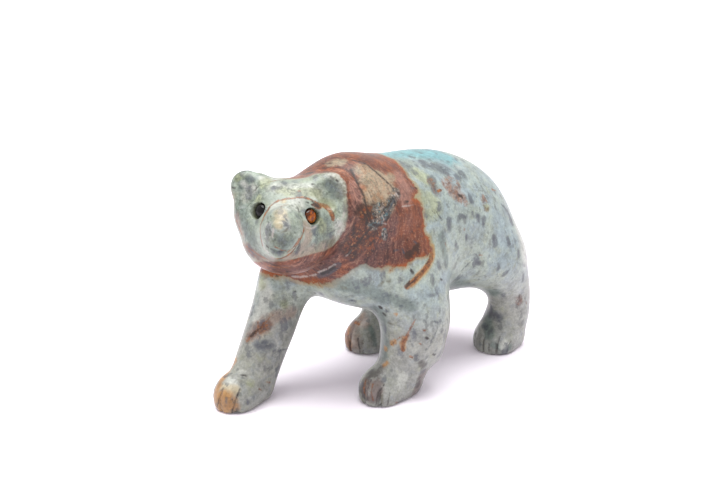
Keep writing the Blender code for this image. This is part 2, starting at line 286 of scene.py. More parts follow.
def soft_unit(t, ease=0.3):
    """t kept between 0 and 1 with eased ends, so that swept forms show no crease there."""
    low = np.maximum(ease - np.abs(t), 0)
    t = np.maximum(t, 0) + low * low / (4 * ease)
    high = np.maximum(ease - np.abs(t - 1), 0)
    return np.minimum(t, 1) - high * high / (4 * ease)


def ellipsoid(offset, radii):
    """Near distance to an ellipsoid, negative inside."""
    reach = np.sqrt(((offset / radii) ** 2).sum(-1))
    slope = np.sqrt(((offset / (radii * radii)) ** 2).sum(-1))
    return reach * (reach - 1) / np.maximum(slope, SMALLEST)


def lump(points, mass, frame=None):
    """Near distance to one rounded mass."""
    offset = points - np.array(mass.centre, float)
    if frame is not None:
        offset = offset @ frame
    return ellipsoid(offset, np.array(mass.radii, float))


def swept(points, start, end, frame):
    """Near distance to a mass that travels and grows from start to end."""
    a, b = np.array(start.centre, float), np.array(end.centre, float)
    ra, rb = np.array(start.radii, float), np.array(end.radii, float)
    way = b - a
    t = soft_unit((points - a) @ way / (way @ way))[..., None]
    return ellipsoid((points - a - t * way) @ frame, ra + t * (rb - ra))


def full_radii(pair):
    """Radii across, along and upright of a round section given by its first two, in leg radii."""
    return LEG_R * np.array((pair[0], pair[1], (pair[0] + pair[1]) / 2))


def limb(points, leg):
    """Near distance to a leg, whose level sections follow a curve from the hip to the ankle."""
    top, ankle = np.array(leg.top, float), np.array(leg.ankle, float)
    mid = (top + ankle) / 2 + np.array((leg.bow[0], leg.bow[1], 0))
    t = soft_unit((top[2] - points[..., 2]) / (top[2] - ankle[2]))[..., None]
    w_top = 2 * t * t - 3 * t + 1
    w_mid = 4 * t - 4 * t * t
    w_low = 2 * t * t - t
    top_radii = LEG_R * np.array((leg.top_radii[0], leg.top_radii[1], leg.top_radii[1]))
    middle = top * w_top + mid * w_mid + ankle * w_low
    radii = top_radii * w_top + full_radii(leg.mid_radii) * w_mid + full_radii(leg.ankle_radii) * w_low
    return ellipsoid(points - middle, radii)


def foot_offsets(points, leg):
    """Points seen from the foot: across, forward of the ankle and up."""
    offset = (points - np.array((leg.ankle[0], leg.ankle[1], 0))) @ turn(leg.toe_turn)
    return offset[..., 0], -offset[..., 1], offset[..., 2]


def foot(points, leg):
    """Near distance to the foot, from heel to toes."""
    shape = leg.foot
    frame = turn(leg.toe_turn)
    under = np.array((leg.ankle[0], leg.ankle[1], shape.height))
    heel = Mass(under + frame @ np.array((0, shape.heel_reach, 0)), shape.heel_radii)
    toes = Mass(under + frame @ np.array((0, -shape.toe_reach, 0)), shape.toe_radii)
    return swept(points, heel, toes, frame)


def ear(points, side):
    """Near distance to one rounded ear."""
    r = HEAD_R
    root = Mass(on_head(side * 0.65 * r, 0.01 * r, 0.44 * r), (0.33 * r, 0.23 * r, 0.33 * r))
    tip = Mass(on_head(side * 0.78 * r, 0.01 * r, 0.50 * r), (0.295 * r, 0.165 * r, 0.295 * r))
    return swept(points, root, tip, HEAD_FRAME)


def ear_cup(points, side):
    """Near distance to the shallow cup on the front of an ear."""
    r = HEAD_R
    cup = Mass(on_head(side * 0.75 * r, -0.31 * r, 0.43 * r), (0.23 * r, 0.15 * r, 0.33 * r))
    return lump(points, cup, HEAD_FRAME)


def head(points):
    """Near distance to the head with its ears and nose."""
    r = HEAD_R
    skull = Mass(on_head(0, 0, 0), (r, 0.69 * r, 0.64 * r))
    cheeks = Mass(on_head(0, -0.15 * r, -0.49 * r), (0.79 * r, 0.67 * r, 0.60 * r))
    bridge = Mass(on_head(0, -0.47 * r, -0.31 * r), (0.59 * r, 0.47 * r, 0.52 * r))
    snout = Mass(on_head(0, -1.00 * r, -0.19 * r), (0.345 * r, 0.30 * r, 0.48 * r))
    nose = Mass(on_head(0, -1.28 * r, -0.05 * r), (0.16 * r, 0.09 * r, 0.12 * r))
    form = blend(lump(points, skull, HEAD_FRAME), lump(points, cheeks, HEAD_FRAME), HEAD_BLEND)
    form = blend(form, swept(points, bridge, snout, HEAD_FRAME), MUZZLE_BLEND)
    form = blend(form, lump(points, nose, HEAD_FRAME), NOSE_BLEND)
    for side in (-1, 1):
        form = blend(form, ear(points, side), EAR_BLEND)
        form = pressed(form, ear_cup(points, side), CUP_BLEND)
    return form


def neck(points):
    """Near distance to the thick neck between the trunk and the back of the head."""
    r = HEAD_R
    nape = Mass(on_head(0, 0.31 * r, -0.10 * r), (0.81 * r, 0.73 * r, 0.62 * r))
    return swept(points, NECK_ROOT, nape, HEAD_FRAME)


def smooth_form(points):
    """Near distance to the whole carving before its toes and mouth are cut, negative inside."""
    masses = trunk_masses()
    form = lump(points, masses[0])
    for mass in masses[1:]:
        form = blend(form, lump(points, mass), TRUNK_BLEND)
    form = blend(form, lump(points, RIGHT_SHOULDER), LEG_BLEND)
    form = blend(form, lump(points, STUB_TAIL), TAIL_BLEND)
    for leg in LEGS.values():
        form = blend(form, blend(limb(points, leg), foot(points, leg), FOOT_BLEND), LEG_BLEND)
    form = blend(form, lump(points, LEFT_CALF), CALF_BLEND)
    fold = THROAT_BLEND + (NAPE_BLEND - THROAT_BLEND) * ramp(points[..., 2], THROAT_Z, NAPE_Z)
    form = blend(form, neck(points), fold)
    form = blend(form, head(points), HEAD_BLEND)
    return pressed(form, points[..., 2], SOLE_BLEND)


def toe_cuts(points, leg):
    """Depth of the cuts that part the toes, over the front of the foot."""
    across, forward, height = foot_offsets(points, leg)
    reach = leg.foot.toe_reach
    face = ramp(forward, reach * GROOVE_START, reach * GROOVE_FULL)
    face = face * (1 - ramp(height, GROOVE_FADE * GROOVE_TOP, GROOVE_TOP))
    depth = np.zeros(across.shape)
    for place in (-TOE_SPACING, 0.0, TOE_SPACING):
        spread = place * (TOE_NARROW + TOE_FAN * forward)
        depth = np.maximum(depth, np.exp(-((across - spread) / GROOVE_WIDTH) ** 2))
    return GROOVE_DEPTH * depth * face


def head_offsets(points):
    """Points seen from the head: across to its left, forward and up."""
    offset = (points - HEAD_CENTRE) @ HEAD_FRAME
    return offset[..., 0], -offset[..., 1], offset[..., 2]


def mouth_cut(points):
    """Depth of the mouth line round the front of the snout."""
    across, forward, up = head_offsets(points)
    line = -MOUTH_DROP * HEAD_R + MOUTH_RISE * across ** 2
    face = ramp(forward, MOUTH_FRONT * HEAD_R, HEAD_R)
    face = face * (1 - ramp(np.abs(across), MOUTH_FADE * MOUTH_HALF, MOUTH_HALF))
    return MOUTH_DEPTH * face * np.exp(-((up - line) / MOUTH_WIDTH) ** 2)


def nose_ledge(points):
    """Height of the nose, which ends below in a small ledge."""
    across, forward, up = head_offsets(points)
    pad = np.exp(-((across - NOSE_SIDE) / NOSE_HALF) ** 2) * ramp(forward, NOSE_BACK, NOSE_BACK + NOSE_EASE)
    rise = ramp(up, NOSE_FOOT, NOSE_FOOT + LEDGE_EASE)
    return NOSE_HEIGHT * pad * rise * (1 - ramp(up, NOSE_FOOT + PAD_FULL, NOSE_TOP))


def carved_form(points):
    """Near distance to the finished carving, with its toe cuts, its nose and its mouth."""
    form = smooth_form(points) + mouth_cut(points) - nose_ledge(points)
    for leg in LEGS.values():
        form = form + toe_cuts(points, leg)
    return form


# Net of faces over the form

def sampled(form, low, high, step):
    """The form's values on a grid, exact only in the blocks of cells that its surface may cross."""
    side = BLOCK * step
    blocks = np.ceil((high - low) / side).astype(int)
    corner = np.stack(np.meshgrid(*(np.arange(n) for n in blocks), indexing="ij"), -1)
    rough = form(low + (corner + 0.5) * side)
    values = np.repeat(np.repeat(np.repeat(rough, BLOCK, 0), BLOCK, 1), BLOCK, 2)
    inner = np.stack(np.meshgrid(*(np.arange(BLOCK),) * 3, indexing="ij"), -1)
    for i, j, k in np.argwhere(np.abs(rough) < BLOCK_REACH * side):
        start = np.array((i, j, k)) * BLOCK
        end = start + BLOCK
        values[start[0]:end[0], start[1]:end[1], start[2]:end[2]] = form(low + (start + inner) * step)
    return values


def crossing_points(values, cells):
    """In each cell, the mean of the points where the surface crosses the cell's edges."""
    total = np.zeros((len(cells), 3))
    count = np.zeros(len(cells))
    for corner in np.ndindex(2, 2, 2):
        for axis in range(3):
            if corner[axis]:
                continue
            other = list(corner)
            other[axis] = 1
            a = values[tuple((cells + corner).T)]
            b = values[tuple((cells + other).T)]
            crossed = (a < 0) != (b < 0)
            t = np.where(crossed, a / np.where(crossed, a - b, 1), 0)
            point = cells + np.array(corner) + t[:, None] * (np.array(other) - corner)
            total[crossed] += point[crossed]
            count[crossed] += 1
    return total / count[:, None]


def surface_net(values, low, step):
    """Vertices and four-sided faces of the zero surface of gridded values."""
    inside = values < 0
    cell_shape = tuple(n - 1 for n in values.shape)
    corners = [inside[i:i + cell_shape[0], j:j + cell_shape[1], k:k + cell_shape[2]]
               for i, j, k in np.ndindex(2, 2, 2)]
    full = np.sum(corners, axis=0)
    cells = np.argwhere((full > 0) & (full < 8))
    number = np.full(cell_shape, -1)
    number[tuple(cells.T)] = np.arange(len(cells))
    vertices = low + crossing_points(values, cells) * step
    faces = []
    for axis in range(3):
        ahead = np.roll(inside, -1, axis)
        edges = np.argwhere(inside != ahead)
        u, v = ((axis + 1) % 3, (axis + 2) % 3)
        ring = []
        for du, dv in ((-1, -1), (0, -1), (0, 0), (-1, 0)):
            cell = edges.copy()
            cell[:, u] += du
            cell[:, v] += dv
            ring.append(number[tuple(cell.T)])
        ring = np.stack(ring, 1)
        leaving = inside[tuple(edges.T)]
        ring[~leaving] = ring[~leaving][:, ::-1]
        faces.append(ring)
    return vertices, np.concatenate(faces)


# Least squared slope that a step onto the surface reckons with
LEAST_SLOPE = 0.1


def slope_of(form, points, step=0.05):
    """The form's gradient at each point."""
    parts = []
    for axis in range(3):
        shift = np.zeros(3)
        shift[axis] = step
        parts.append((form(points + shift) - form(points - shift)) / (2 * step))
    return np.stack(parts, -1)


def drawn_to(form, points, rounds=2):
    """The points moved straight onto the form's surface."""
    for _ in range(rounds):
        slope = slope_of(form, points)
        strength = np.maximum((slope ** 2).sum(-1), LEAST_SLOPE)
        points = points - (form(points) / strength)[:, None] * slope
    return points


def eye_frame(eye):
    """Frame of an eye: across it, into the head and up."""
    return HEAD_FRAME @ turn(math.copysign(EYE_SPLAY, eye.side), -EYE_LIFT)


def eye_seat(eye):
    """Where the eye's axis leaves the face."""
    forward = np.linspace(0.0, SEAT_REACH * HEAD_R, SEAT_SAMPLES)
    line = np.array([on_head(eye.side, -y, eye.height) for y in forward])
    outside = np.nonzero(head(line) > 0)[0]
    return line[outside[0]]


SEATS = {eye.node: eye_seat(eye) for eye in EYES}


def eye_offsets(points, eye):
    """Distance of points from the eye's axis, and how far they stand out of its seat along it."""
    offset = points - SEATS[eye.node]
    out = -eye_frame(eye)[:, 1]
    height = offset @ out
    return np.linalg.norm(offset - height[..., None] * out, axis=-1), height


# How far round an eye's seat the net is split, how often it is split at most, and the snout's top
RIM_ZONE = 4.6
FINE_LEVELS = 2
SNOUT_TOP = 3.0


def fineness(points):
    """How many times the net is split round each point: the face and toes once, snout and eyes twice."""
    across, forward, up = head_offsets(points)
    wanted = ((forward > -0.3 * HEAD_R) & (up > -1.5 * HEAD_R)).astype(int)
    wanted[(forward > 0.95 * HEAD_R) & (up < SNOUT_TOP)] = FINE_LEVELS
    for leg in LEGS.values():
        side, ahead, height = foot_offsets(points, leg)
        near = (np.abs(side) < 1.3 * LEG_R) & (ahead > 0.3 * leg.foot.toe_reach)
        wanted[near & (ahead < 2.6 * leg.foot.toe_reach) & (height < 1.2 * GROOVE_TOP)] = 1
    for eye in EYES:
        reach, height = eye_offsets(points, eye)
        wanted[(reach < RIM_ZONE) & (np.abs(height) < RIM_ZONE)] = FINE_LEVELS
    return wanted


def split_net(vertices, faces):
    """The net with its faces split where finer detail is wanted."""
    mesh = bpy.data.meshes.new("net")
    mesh.from_pydata(vertices.tolist(), [], faces.tolist())
    shape = bmesh.new()
    shape.from_mesh(mesh)
    for level in range(FINE_LEVELS):
        places = np.array([vertex.co[:] for vertex in shape.verts])
        wanted = fineness(places) > level
        shape.verts.ensure_lookup_table()
        chosen = {edge for face in shape.faces if all(wanted[v.index] for v in face.verts)
                  for edge in face.edges}
        ordered = sorted(chosen, key=lambda edge: edge.index)
        bmesh.ops.subdivide_edges(shape, edges=ordered, cuts=1, use_grid_fill=True)
        shape.verts.index_update()
        shape.edges.index_update()
    shape.to_mesh(mesh)
    shape.free()
    return mesh


def vertex_places(mesh):
    """The mesh's vertex places as an array."""
    places = np.zeros(len(mesh.vertices) * 3)
    mesh.vertices.foreach_get("co", places)
    return places.reshape(-1, 3)


def in_metres(point):
    """A point of the drawn form in the finished object's frame."""
    return (np.asarray(point) - FOOTPRINT_MIDDLE) * MM


# The drilled socket: where its rounded rim starts, where its floor starts, and its depth
RIM_R = 3.1
FLOOR_R = 2.65
SOCKET_DEPTH = EYE_SINK + EYE_FLATTENING * EYE_D / 2 + SOCKET_GAP


def drilled(points):
    """The points with those inside an eye's rim pushed down to the socket's wall and floor."""
    for eye in EYES:
        out = -eye_frame(eye)[:, 1]
        reach, height = eye_offsets(points, eye)
        share = np.where(np.abs(height) < RIM_ZONE, 1 - ramp(reach, FLOOR_R, RIM_R), 0)
        points = points + (share * (-SOCKET_DEPTH - height))[:, None] * out
    return points


def carving_mesh():
    """The carving's surface in metres, held inside the CAD's box, and its points in the drawn frame."""
    values = sampled(smooth_form, NET_LOW, NET_HIGH, NET_STEP)
    vertices, faces = surface_net(values, NET_LOW, NET_STEP)
    mesh = split_net(drawn_to(smooth_form, vertices, rounds=1), faces)
    places = drawn_to(smooth_form, vertex_places(mesh), rounds=1)
    places = drilled(drawn_to(carved_form, places))
    low, high = np.array(cad_box)
    inside = np.clip(in_metres(places), low, high)
    mesh.vertices.foreach_set("co", inside.ravel())
    mesh.update()
    return mesh, places


# The photograph's camera

CAMERA_RIGHT, CAMERA_AHEAD, CAMERA_UP = turn(CAMERA_TURN, -CAMERA_DROP, -CAMERA_TILT).T
CAMERA_AXES = np.stack((CAMERA_RIGHT, CAMERA_UP, CAMERA_AHEAD))
CAMERA_PLACE = -CAMERA_OFFSET @ CAMERA_AXES


def new_object(name, data):
    """An object in the scene that shows a mesh, a lamp or a camera."""
    thing = bpy.data.objects.new(name, data)
    bpy.context.scene.collection.objects.link(thing)
    return thing


def add_camera():
    """The camera that looks at the bear as the photograph does."""
    data = bpy.data.cameras.new("camera")
    data.lens = LENS_MM
    data.sensor_width = SENSOR_MM
    data.clip_start = NEAREST_SEEN
    data.clip_end = FARTHEST_SEEN
    camera = new_object("camera", data)
    matrix = np.eye(4)
    matrix[:3] = np.stack((CAMERA_RIGHT, CAMERA_UP, -CAMERA_AHEAD, in_metres(CAMERA_PLACE)), 1)
    camera.matrix_world = Matrix(matrix)
    bpy.context.scene.camera = camera


# Marks of the stone, picked on the photograph

# Where the red-brown patch ends: behind on the trunk and below on the chest, and in front at the face
PATCH_REAR = (
    (382, 155), (390, 158), (398, 163), (403, 169), (408, 176), (412, 182), (417, 187), (419, 191),
    (416, 195), (414, 198), (419, 200), (422, 205), (423, 211), (424, 217), (425, 223), (424, 229),
    (426, 235), (429, 238), (430, 243), (432, 248), (432, 253), (424, 256), (418, 257), (414, 259),
    (410, 262), (406, 265), (401, 268), (396, 267), (391, 270), (390, 266), (386, 267), (380, 268.5),
    (374, 268), (369, 266.5), (366, 264), (361, 265), (352, 270), (345, 275), (335, 279.5), (325, 283),
    (315, 285), (305, 283), (295, 280), (288, 277),
)
PATCH_FRONT = (
    (333, 172.5), (340, 177), (345.5, 183), (346.5, 195), (347.5, 210), (346, 222), (343, 232),
    (338, 240), (333, 246), (325, 250.5), (315, 253), (300, 257), (285, 261),
)

# Thin veins, flecks and grooves, by kind: half the width in millimetres, and the pixels of the line
HEAD_MARKS = {
    "rust": (
        (0.4, (262.5, 245), (260.8, 238), (260, 230), (261, 224), (263, 219)),
        (0.5, (263, 219), (265, 214.5), (268, 210), (269.5, 207)),
        (0.34, (269.5, 207), (274, 203), (279, 200.5), (284, 199.2), (290, 198.5), (296, 197.6),
         (302, 197.3), (307, 198.3), (311, 199.6), (315, 201.5)),
        (0.44, (272, 257.5), (276, 258.8), (281, 258.5), (286, 256.5), (291, 253), (295, 248), (298, 243),
         (301, 238), (303, 233), (304, 229)),
        (0.32, (288, 252), (292, 249), (296, 244), (299, 239)),
        (0.85, (320, 205), (325, 206), (328, 209), (331, 213), (333, 217), (333, 219)),
        (1.5, (315, 203), (318, 205.5)),
        (0.15, (268, 182.5), (272, 181.3), (276, 180.5), (281, 180), (290, 179.5)),
        (0.16, (281, 206.8), (284, 205), (288, 204.5)), (0.3, (298.5, 191), (300, 191)),
        (0.16, (275, 246.5), (278, 248.2), (281, 250), (285, 250.5)),
        (0.35, (235, 215), (237, 222), (239.5, 229), (242, 235)),
        (0.3, (246, 246), (250, 249), (256, 253), (262, 257), (268, 260)),
        (0.4, (256, 262), (263, 265), (272, 266.5), (282, 267.5), (290, 268)),
        (0.22, (240, 241), (246, 248), (252, 254), (258, 259)),
    ),
    "dark": (
        (0.85, (313, 204), (316, 204.5), (318, 206)), (0.34, (312, 201), (315, 203.5)),
        (0.3, (307, 202.5), (308, 202.8)),
        (0.14, (255, 190.5), (257, 188), (260, 185.5), (264, 184), (268, 182.5)),
        (0.3, (292, 190), (294, 190.5)), (0.32, (232.5, 187.5), (235, 188.5)),
        (0.34, (331, 177), (333, 178.5)), (0.26, (337, 180.5), (338, 181)),
        (0.3, (312, 184), (315, 184.5)), (0.26, (318, 184), (320, 184)),
        (0.28, (297, 206.5), (298.5, 209), (299, 212)), (0.42, (266.5, 246), (268, 247)),
        (0.24, (300.5, 241), (299, 246), (295, 251)), (0.26, (327, 231), (329, 230.5)),
        (0.24, (331, 228.5), (332.5, 228)), (0.35, (286.5, 271), (287.5, 272)),
        (0.6, (322, 274), (328, 271.5), (334, 267)),
    ),
    "olive": (
        # This olive line under the nose's ledge is painted shade
        (0.34, (278, 231), (281, 232), (284, 231.5), (287, 230)),
    ),
    "pale": (
        # The first pale line, beside the nose, is a painted highlight
        (0.4, (273.5, 229), (273, 233), (272.5, 237)),
        (0.3, (303.5, 225), (306, 227.5), (311, 228.6), (316, 226.5)), (0.45, (339, 226), (341, 224)),
        (0.55, (338, 232), (341, 230)), (0.4, (343, 217), (344, 213)),
        (0.45, (262.5, 240), (263, 245), (264.5, 249), (268, 252)),
        (0.34, (293, 276.5), (300, 277), (308, 276.2), (316, 274.5)),
        (0.34, (318, 272.5), (324, 270.5), (330, 267.5), (335, 264.5)),
    ),
    "slate": (
        (0.45, (326, 236), (330, 233.5), (334, 230.5)), (0.3, (289, 275), (294, 275)),
        (1.15, (319, 276), (324, 274.5), (329, 272), (334, 268.5), (338.5, 264.5)),
    ),
}
PATCH_MARKS = {
    "dark": (
        (0.48, (351, 170), (353.5, 175), (356, 181), (359, 187), (361, 190), (364, 197), (365.5, 203),
         (367, 210), (368.5, 217)),
        (0.4, (352, 160), (357, 161), (362, 162), (369, 166), (376, 172), (380, 176), (384, 179),
         (390, 185), (394, 190)),
        (0.55, (384, 209), (388, 206), (391, 201), (394, 197)), (0.45, (386, 221), (389, 217), (390, 212)),
        (0.5, (365, 215), (367, 220), (366, 225)),
        (0.5, (369, 213), (370, 219), (372, 224), (377, 226), (382, 225)),
        (0.46, (371, 227), (367, 232), (362, 238), (358, 243), (355, 247), (351, 251), (347, 254)),
        (0.24, (374, 231), (370, 236), (366, 240)), (0.24, (353, 217), (354, 224), (353, 231), (354, 236)),
        (0.22, (357, 242), (352, 247), (349, 251), (345, 256)), (0.5, (404.5, 202.5), (408, 201.5)),
        (0.3, (415, 188), (417, 188.5)), (0.22, (404, 176), (408, 180), (412, 184)),
        (0.28, (412, 231), (414.5, 233)), (0.4, (429, 262), (426, 264)),
        (0.4, (424, 269), (419, 275), (414, 280.5), (409, 285)), (0.7, (406.5, 286), (410, 282.5)),
    ),
    "slate": (
        (0.3, (354, 161), (360, 163), (365, 163.5)), (0.5, (386, 213), (389, 209), (392, 204), (394, 200)),
        (0.4, (376, 226), (380, 224), (384, 221), (386, 218)), (0.3, (412, 187.5), (414, 189)),
        (0.4, (414, 241), (416, 243)), (0.34, (395, 250.5), (399, 250)), (0.34, (402, 249), (404, 253)),
    ),
    "pale": (
        (0.28, (391, 194), (393.5, 197), (396, 193), (398, 196)),
        (0.2, (382, 216), (384, 219), (382, 223), (386, 224)),
        (0.25, (380, 209), (384, 207.5), (376, 210)), (0.22, (385, 231), (384.5, 235), (385, 238)),
        (0.18, (349, 253), (346, 256), (352, 250)), (0.2, (402, 206.5), (407, 206), (413, 205)),
    ),
    "rust": (
        (1.05, (432, 254), (431, 259), (428, 264.5), (423.5, 271), (418, 277), (413, 282), (407, 287)),
    ),
}
TRUNK_MARKS = {
    "dark": (
        (0.55, (411, 270.5), (413, 273)), (0.24, (436.5, 212), (439, 216), (442, 220)),
        (0.18, (432, 211), (435, 213.5)), (0.18, (433, 217), (437, 220.5)),
        (0.4, (440.5, 279), (442, 279.5)), (0.65, (459.5, 195.5), (462, 197)),
    ),
    "olive": (
        (0.6, (342, 287), (346, 288)), (0.45, (380, 286), (383, 282)), (0.45, (388, 281.5), (390, 281)),
        (0.35, (443, 250), (443.5, 254)), (0.6, (484, 206), (488, 209)),
    ),
    "fleck": (
        (0.75, (429, 295.5), (434, 295)), (0.45, (435, 189), (437, 192)), (0.35, (447, 194), (451, 192)),
        (0.36, (468, 192), (469, 196), (471, 202)),
        (0.3, (475, 190), (480, 190.3), (484, 191.3), (488, 194)), (0.35, (484, 200), (486, 204)),
        (0.3, (483, 184.5), (485, 185.5)), (0.48, (449, 221), (449, 227)), (0.4, (461, 216), (465, 216.5)),
        (0.4, (478, 215), (478.5, 221)), (0.42, (483, 219), (483.5, 225)),
        (0.36, (466, 236), (466.5, 238.5)), (0.32, (476, 237), (476, 239.5)),
        (0.44, (494, 237), (494.5, 244)), (0.3, (489, 255.5), (489.5, 257)),
        (0.28, (457, 253), (457.5, 255)), (0.28, (464, 257), (464, 259)), (0.5, (477, 262), (479.5, 264)),
        (0.3, (485, 275.5), (485.5, 277)), (0.52, (523, 275), (523, 280)), (0.4, (518, 251), (518.5, 256)),
        (0.28, (520, 264), (520.5, 266)), (0.3, (513, 245), (513, 247)),
        (0.28, (497, 268.5), (497.5, 270)),
    ),
    "rust": (
        (0.3, (445, 242), (446, 246)), (0.55, (438, 191), (441, 190)), (0.3, (492, 189.5), (496, 190.5)),
        (0.34, (464, 228), (464.5, 230.5)), (0.3, (479, 255), (483, 255)),
    ),
    "slate": (
        (0.34, (472, 260), (468, 264), (464, 268), (461, 271)),
        (0.34, (503, 275), (506, 273.5), (509, 270)),
        (0.4, (502, 205), (505, 208), (508, 212), (511, 218), (513, 224)),
    ),
}
LEG_MARKS = {
    "fleck": (
        (0.9, (490, 314), (494, 315), (498, 316.5)), (0.4, (499, 321), (501, 323)),
        (0.4, (483, 325.5), (485, 327)), (0.3, (521, 311.5), (521.5, 313)),
        (0.8, (257, 345), (264, 347), (271, 345)), (0.5, (262, 343), (268, 342)),
        (0.4, (273, 352), (278, 350)), (0.34, (240, 375), (246, 376)),
    ),
    "dark": (
        (0.34, (519, 295), (519, 302)), (0.24, (525, 296), (525, 298.5)),
        (0.5, (251, 336), (256, 331.5), (261, 327.8)), (0.45, (242.5, 375), (246, 375.5)),
        (0.26, (272.5, 280), (274, 280.5)), (0.24, (276.5, 276), (278, 276.5)),
        (0.24, (294.5, 291), (296, 291.5)), (0.24, (296.5, 297), (298, 297.5)),
        # The dark lines from here to the right hind toes follow the toe cuts: painted shade in the cuts
        (0.24, (223, 389), (219, 399), (217, 409)), (0.26, (240, 389), (236, 399), (232, 413)),
        (0.22, (371, 380), (367, 390), (368, 400)), (0.22, (384, 385), (378, 393), (376, 405)),
        (0.22, (390, 393), (387, 407)), (0.2, (489, 344), (489, 352)),
        (0.2, (500, 337), (498, 344), (497, 352)), (0.2, (511, 341), (508, 346), (507, 352)),
        (0.22, (348, 336), (350, 344), (351, 352)), (0.22, (358, 338), (359, 346), (360, 352)),
        (0.24, (369, 381), (368, 386)), (0.7, (380, 307), (381, 307.5)), (0.7, (384, 314), (385, 315)),
        (0.6, (426.5, 338), (427.5, 339)), (0.5, (433, 354), (435, 354.5)),
    ),
    "rust": (
        (0.28, (526, 302), (526.5, 304)), (0.4, (475, 350.5), (479, 351.5)),
        (1.3, (347.5, 330), (347, 338), (348, 346)),
        (0.55, (346, 334), (347, 341), (349.5, 347), (351, 351)), (0.6, (355, 322), (359, 324.5)),
        (0.4, (247, 341), (249.5, 338), (252, 335), (255, 332.5), (258, 330), (262, 327), (267, 325)),
        (0.28, (258, 330), (258, 326), (258, 322)), (0.28, (262, 327), (264, 323)),
        (0.18, (266, 322), (269.5, 318), (273, 315)), (0.38, (266.5, 382), (269.5, 382.5)),
        (0.4, (259, 389), (261, 390)), (0.3, (366, 380), (364, 388), (366, 396)),
        (0.26, (373, 384), (371, 392), (373, 400)), (0.34, (423, 329.5), (425, 330.5)),
        (0.26, (419.5, 343.5), (421, 344.5)), (0.36, (415, 320), (413, 323.5), (411, 327), (408, 334)),
        (0.62, (408, 334), (406, 338), (403.5, 342), (403, 346), (403, 350)),
        (0.22, (403, 336), (399, 338), (395, 341), (391, 345)), (0.4, (410, 356.5), (412.5, 357.5)),
        (0.34, (396, 402.5), (398.5, 403.5)),
    ),
    "slate": (
        (0.34, (272, 355), (276, 352.5), (281, 350), (286, 349), (290, 348)),
        (0.34, (400, 306), (402, 306.5)), (0.34, (387, 311), (389, 311.5)),
        (0.4, (424, 321), (426, 321.5)), (0.4, (435, 321.5), (437, 322.5)),
        (0.3, (409.5, 341), (411, 341.5)),
        (0.26, (437, 330), (435, 334), (433, 338), (431, 342), (430, 345), (426, 350)),
    ),
    "olive": (
        (0.6, (361, 386), (360, 394), (363, 402)), (0.5, (382, 396), (382, 403)),
        (0.36, (380, 325), (382, 325)), (0.48, (388.5, 323), (392.5, 324)),
    ),
}
FINE_MARKS = (HEAD_MARKS, PATCH_MARKS, TRUNK_MARKS, LEG_MARKS)

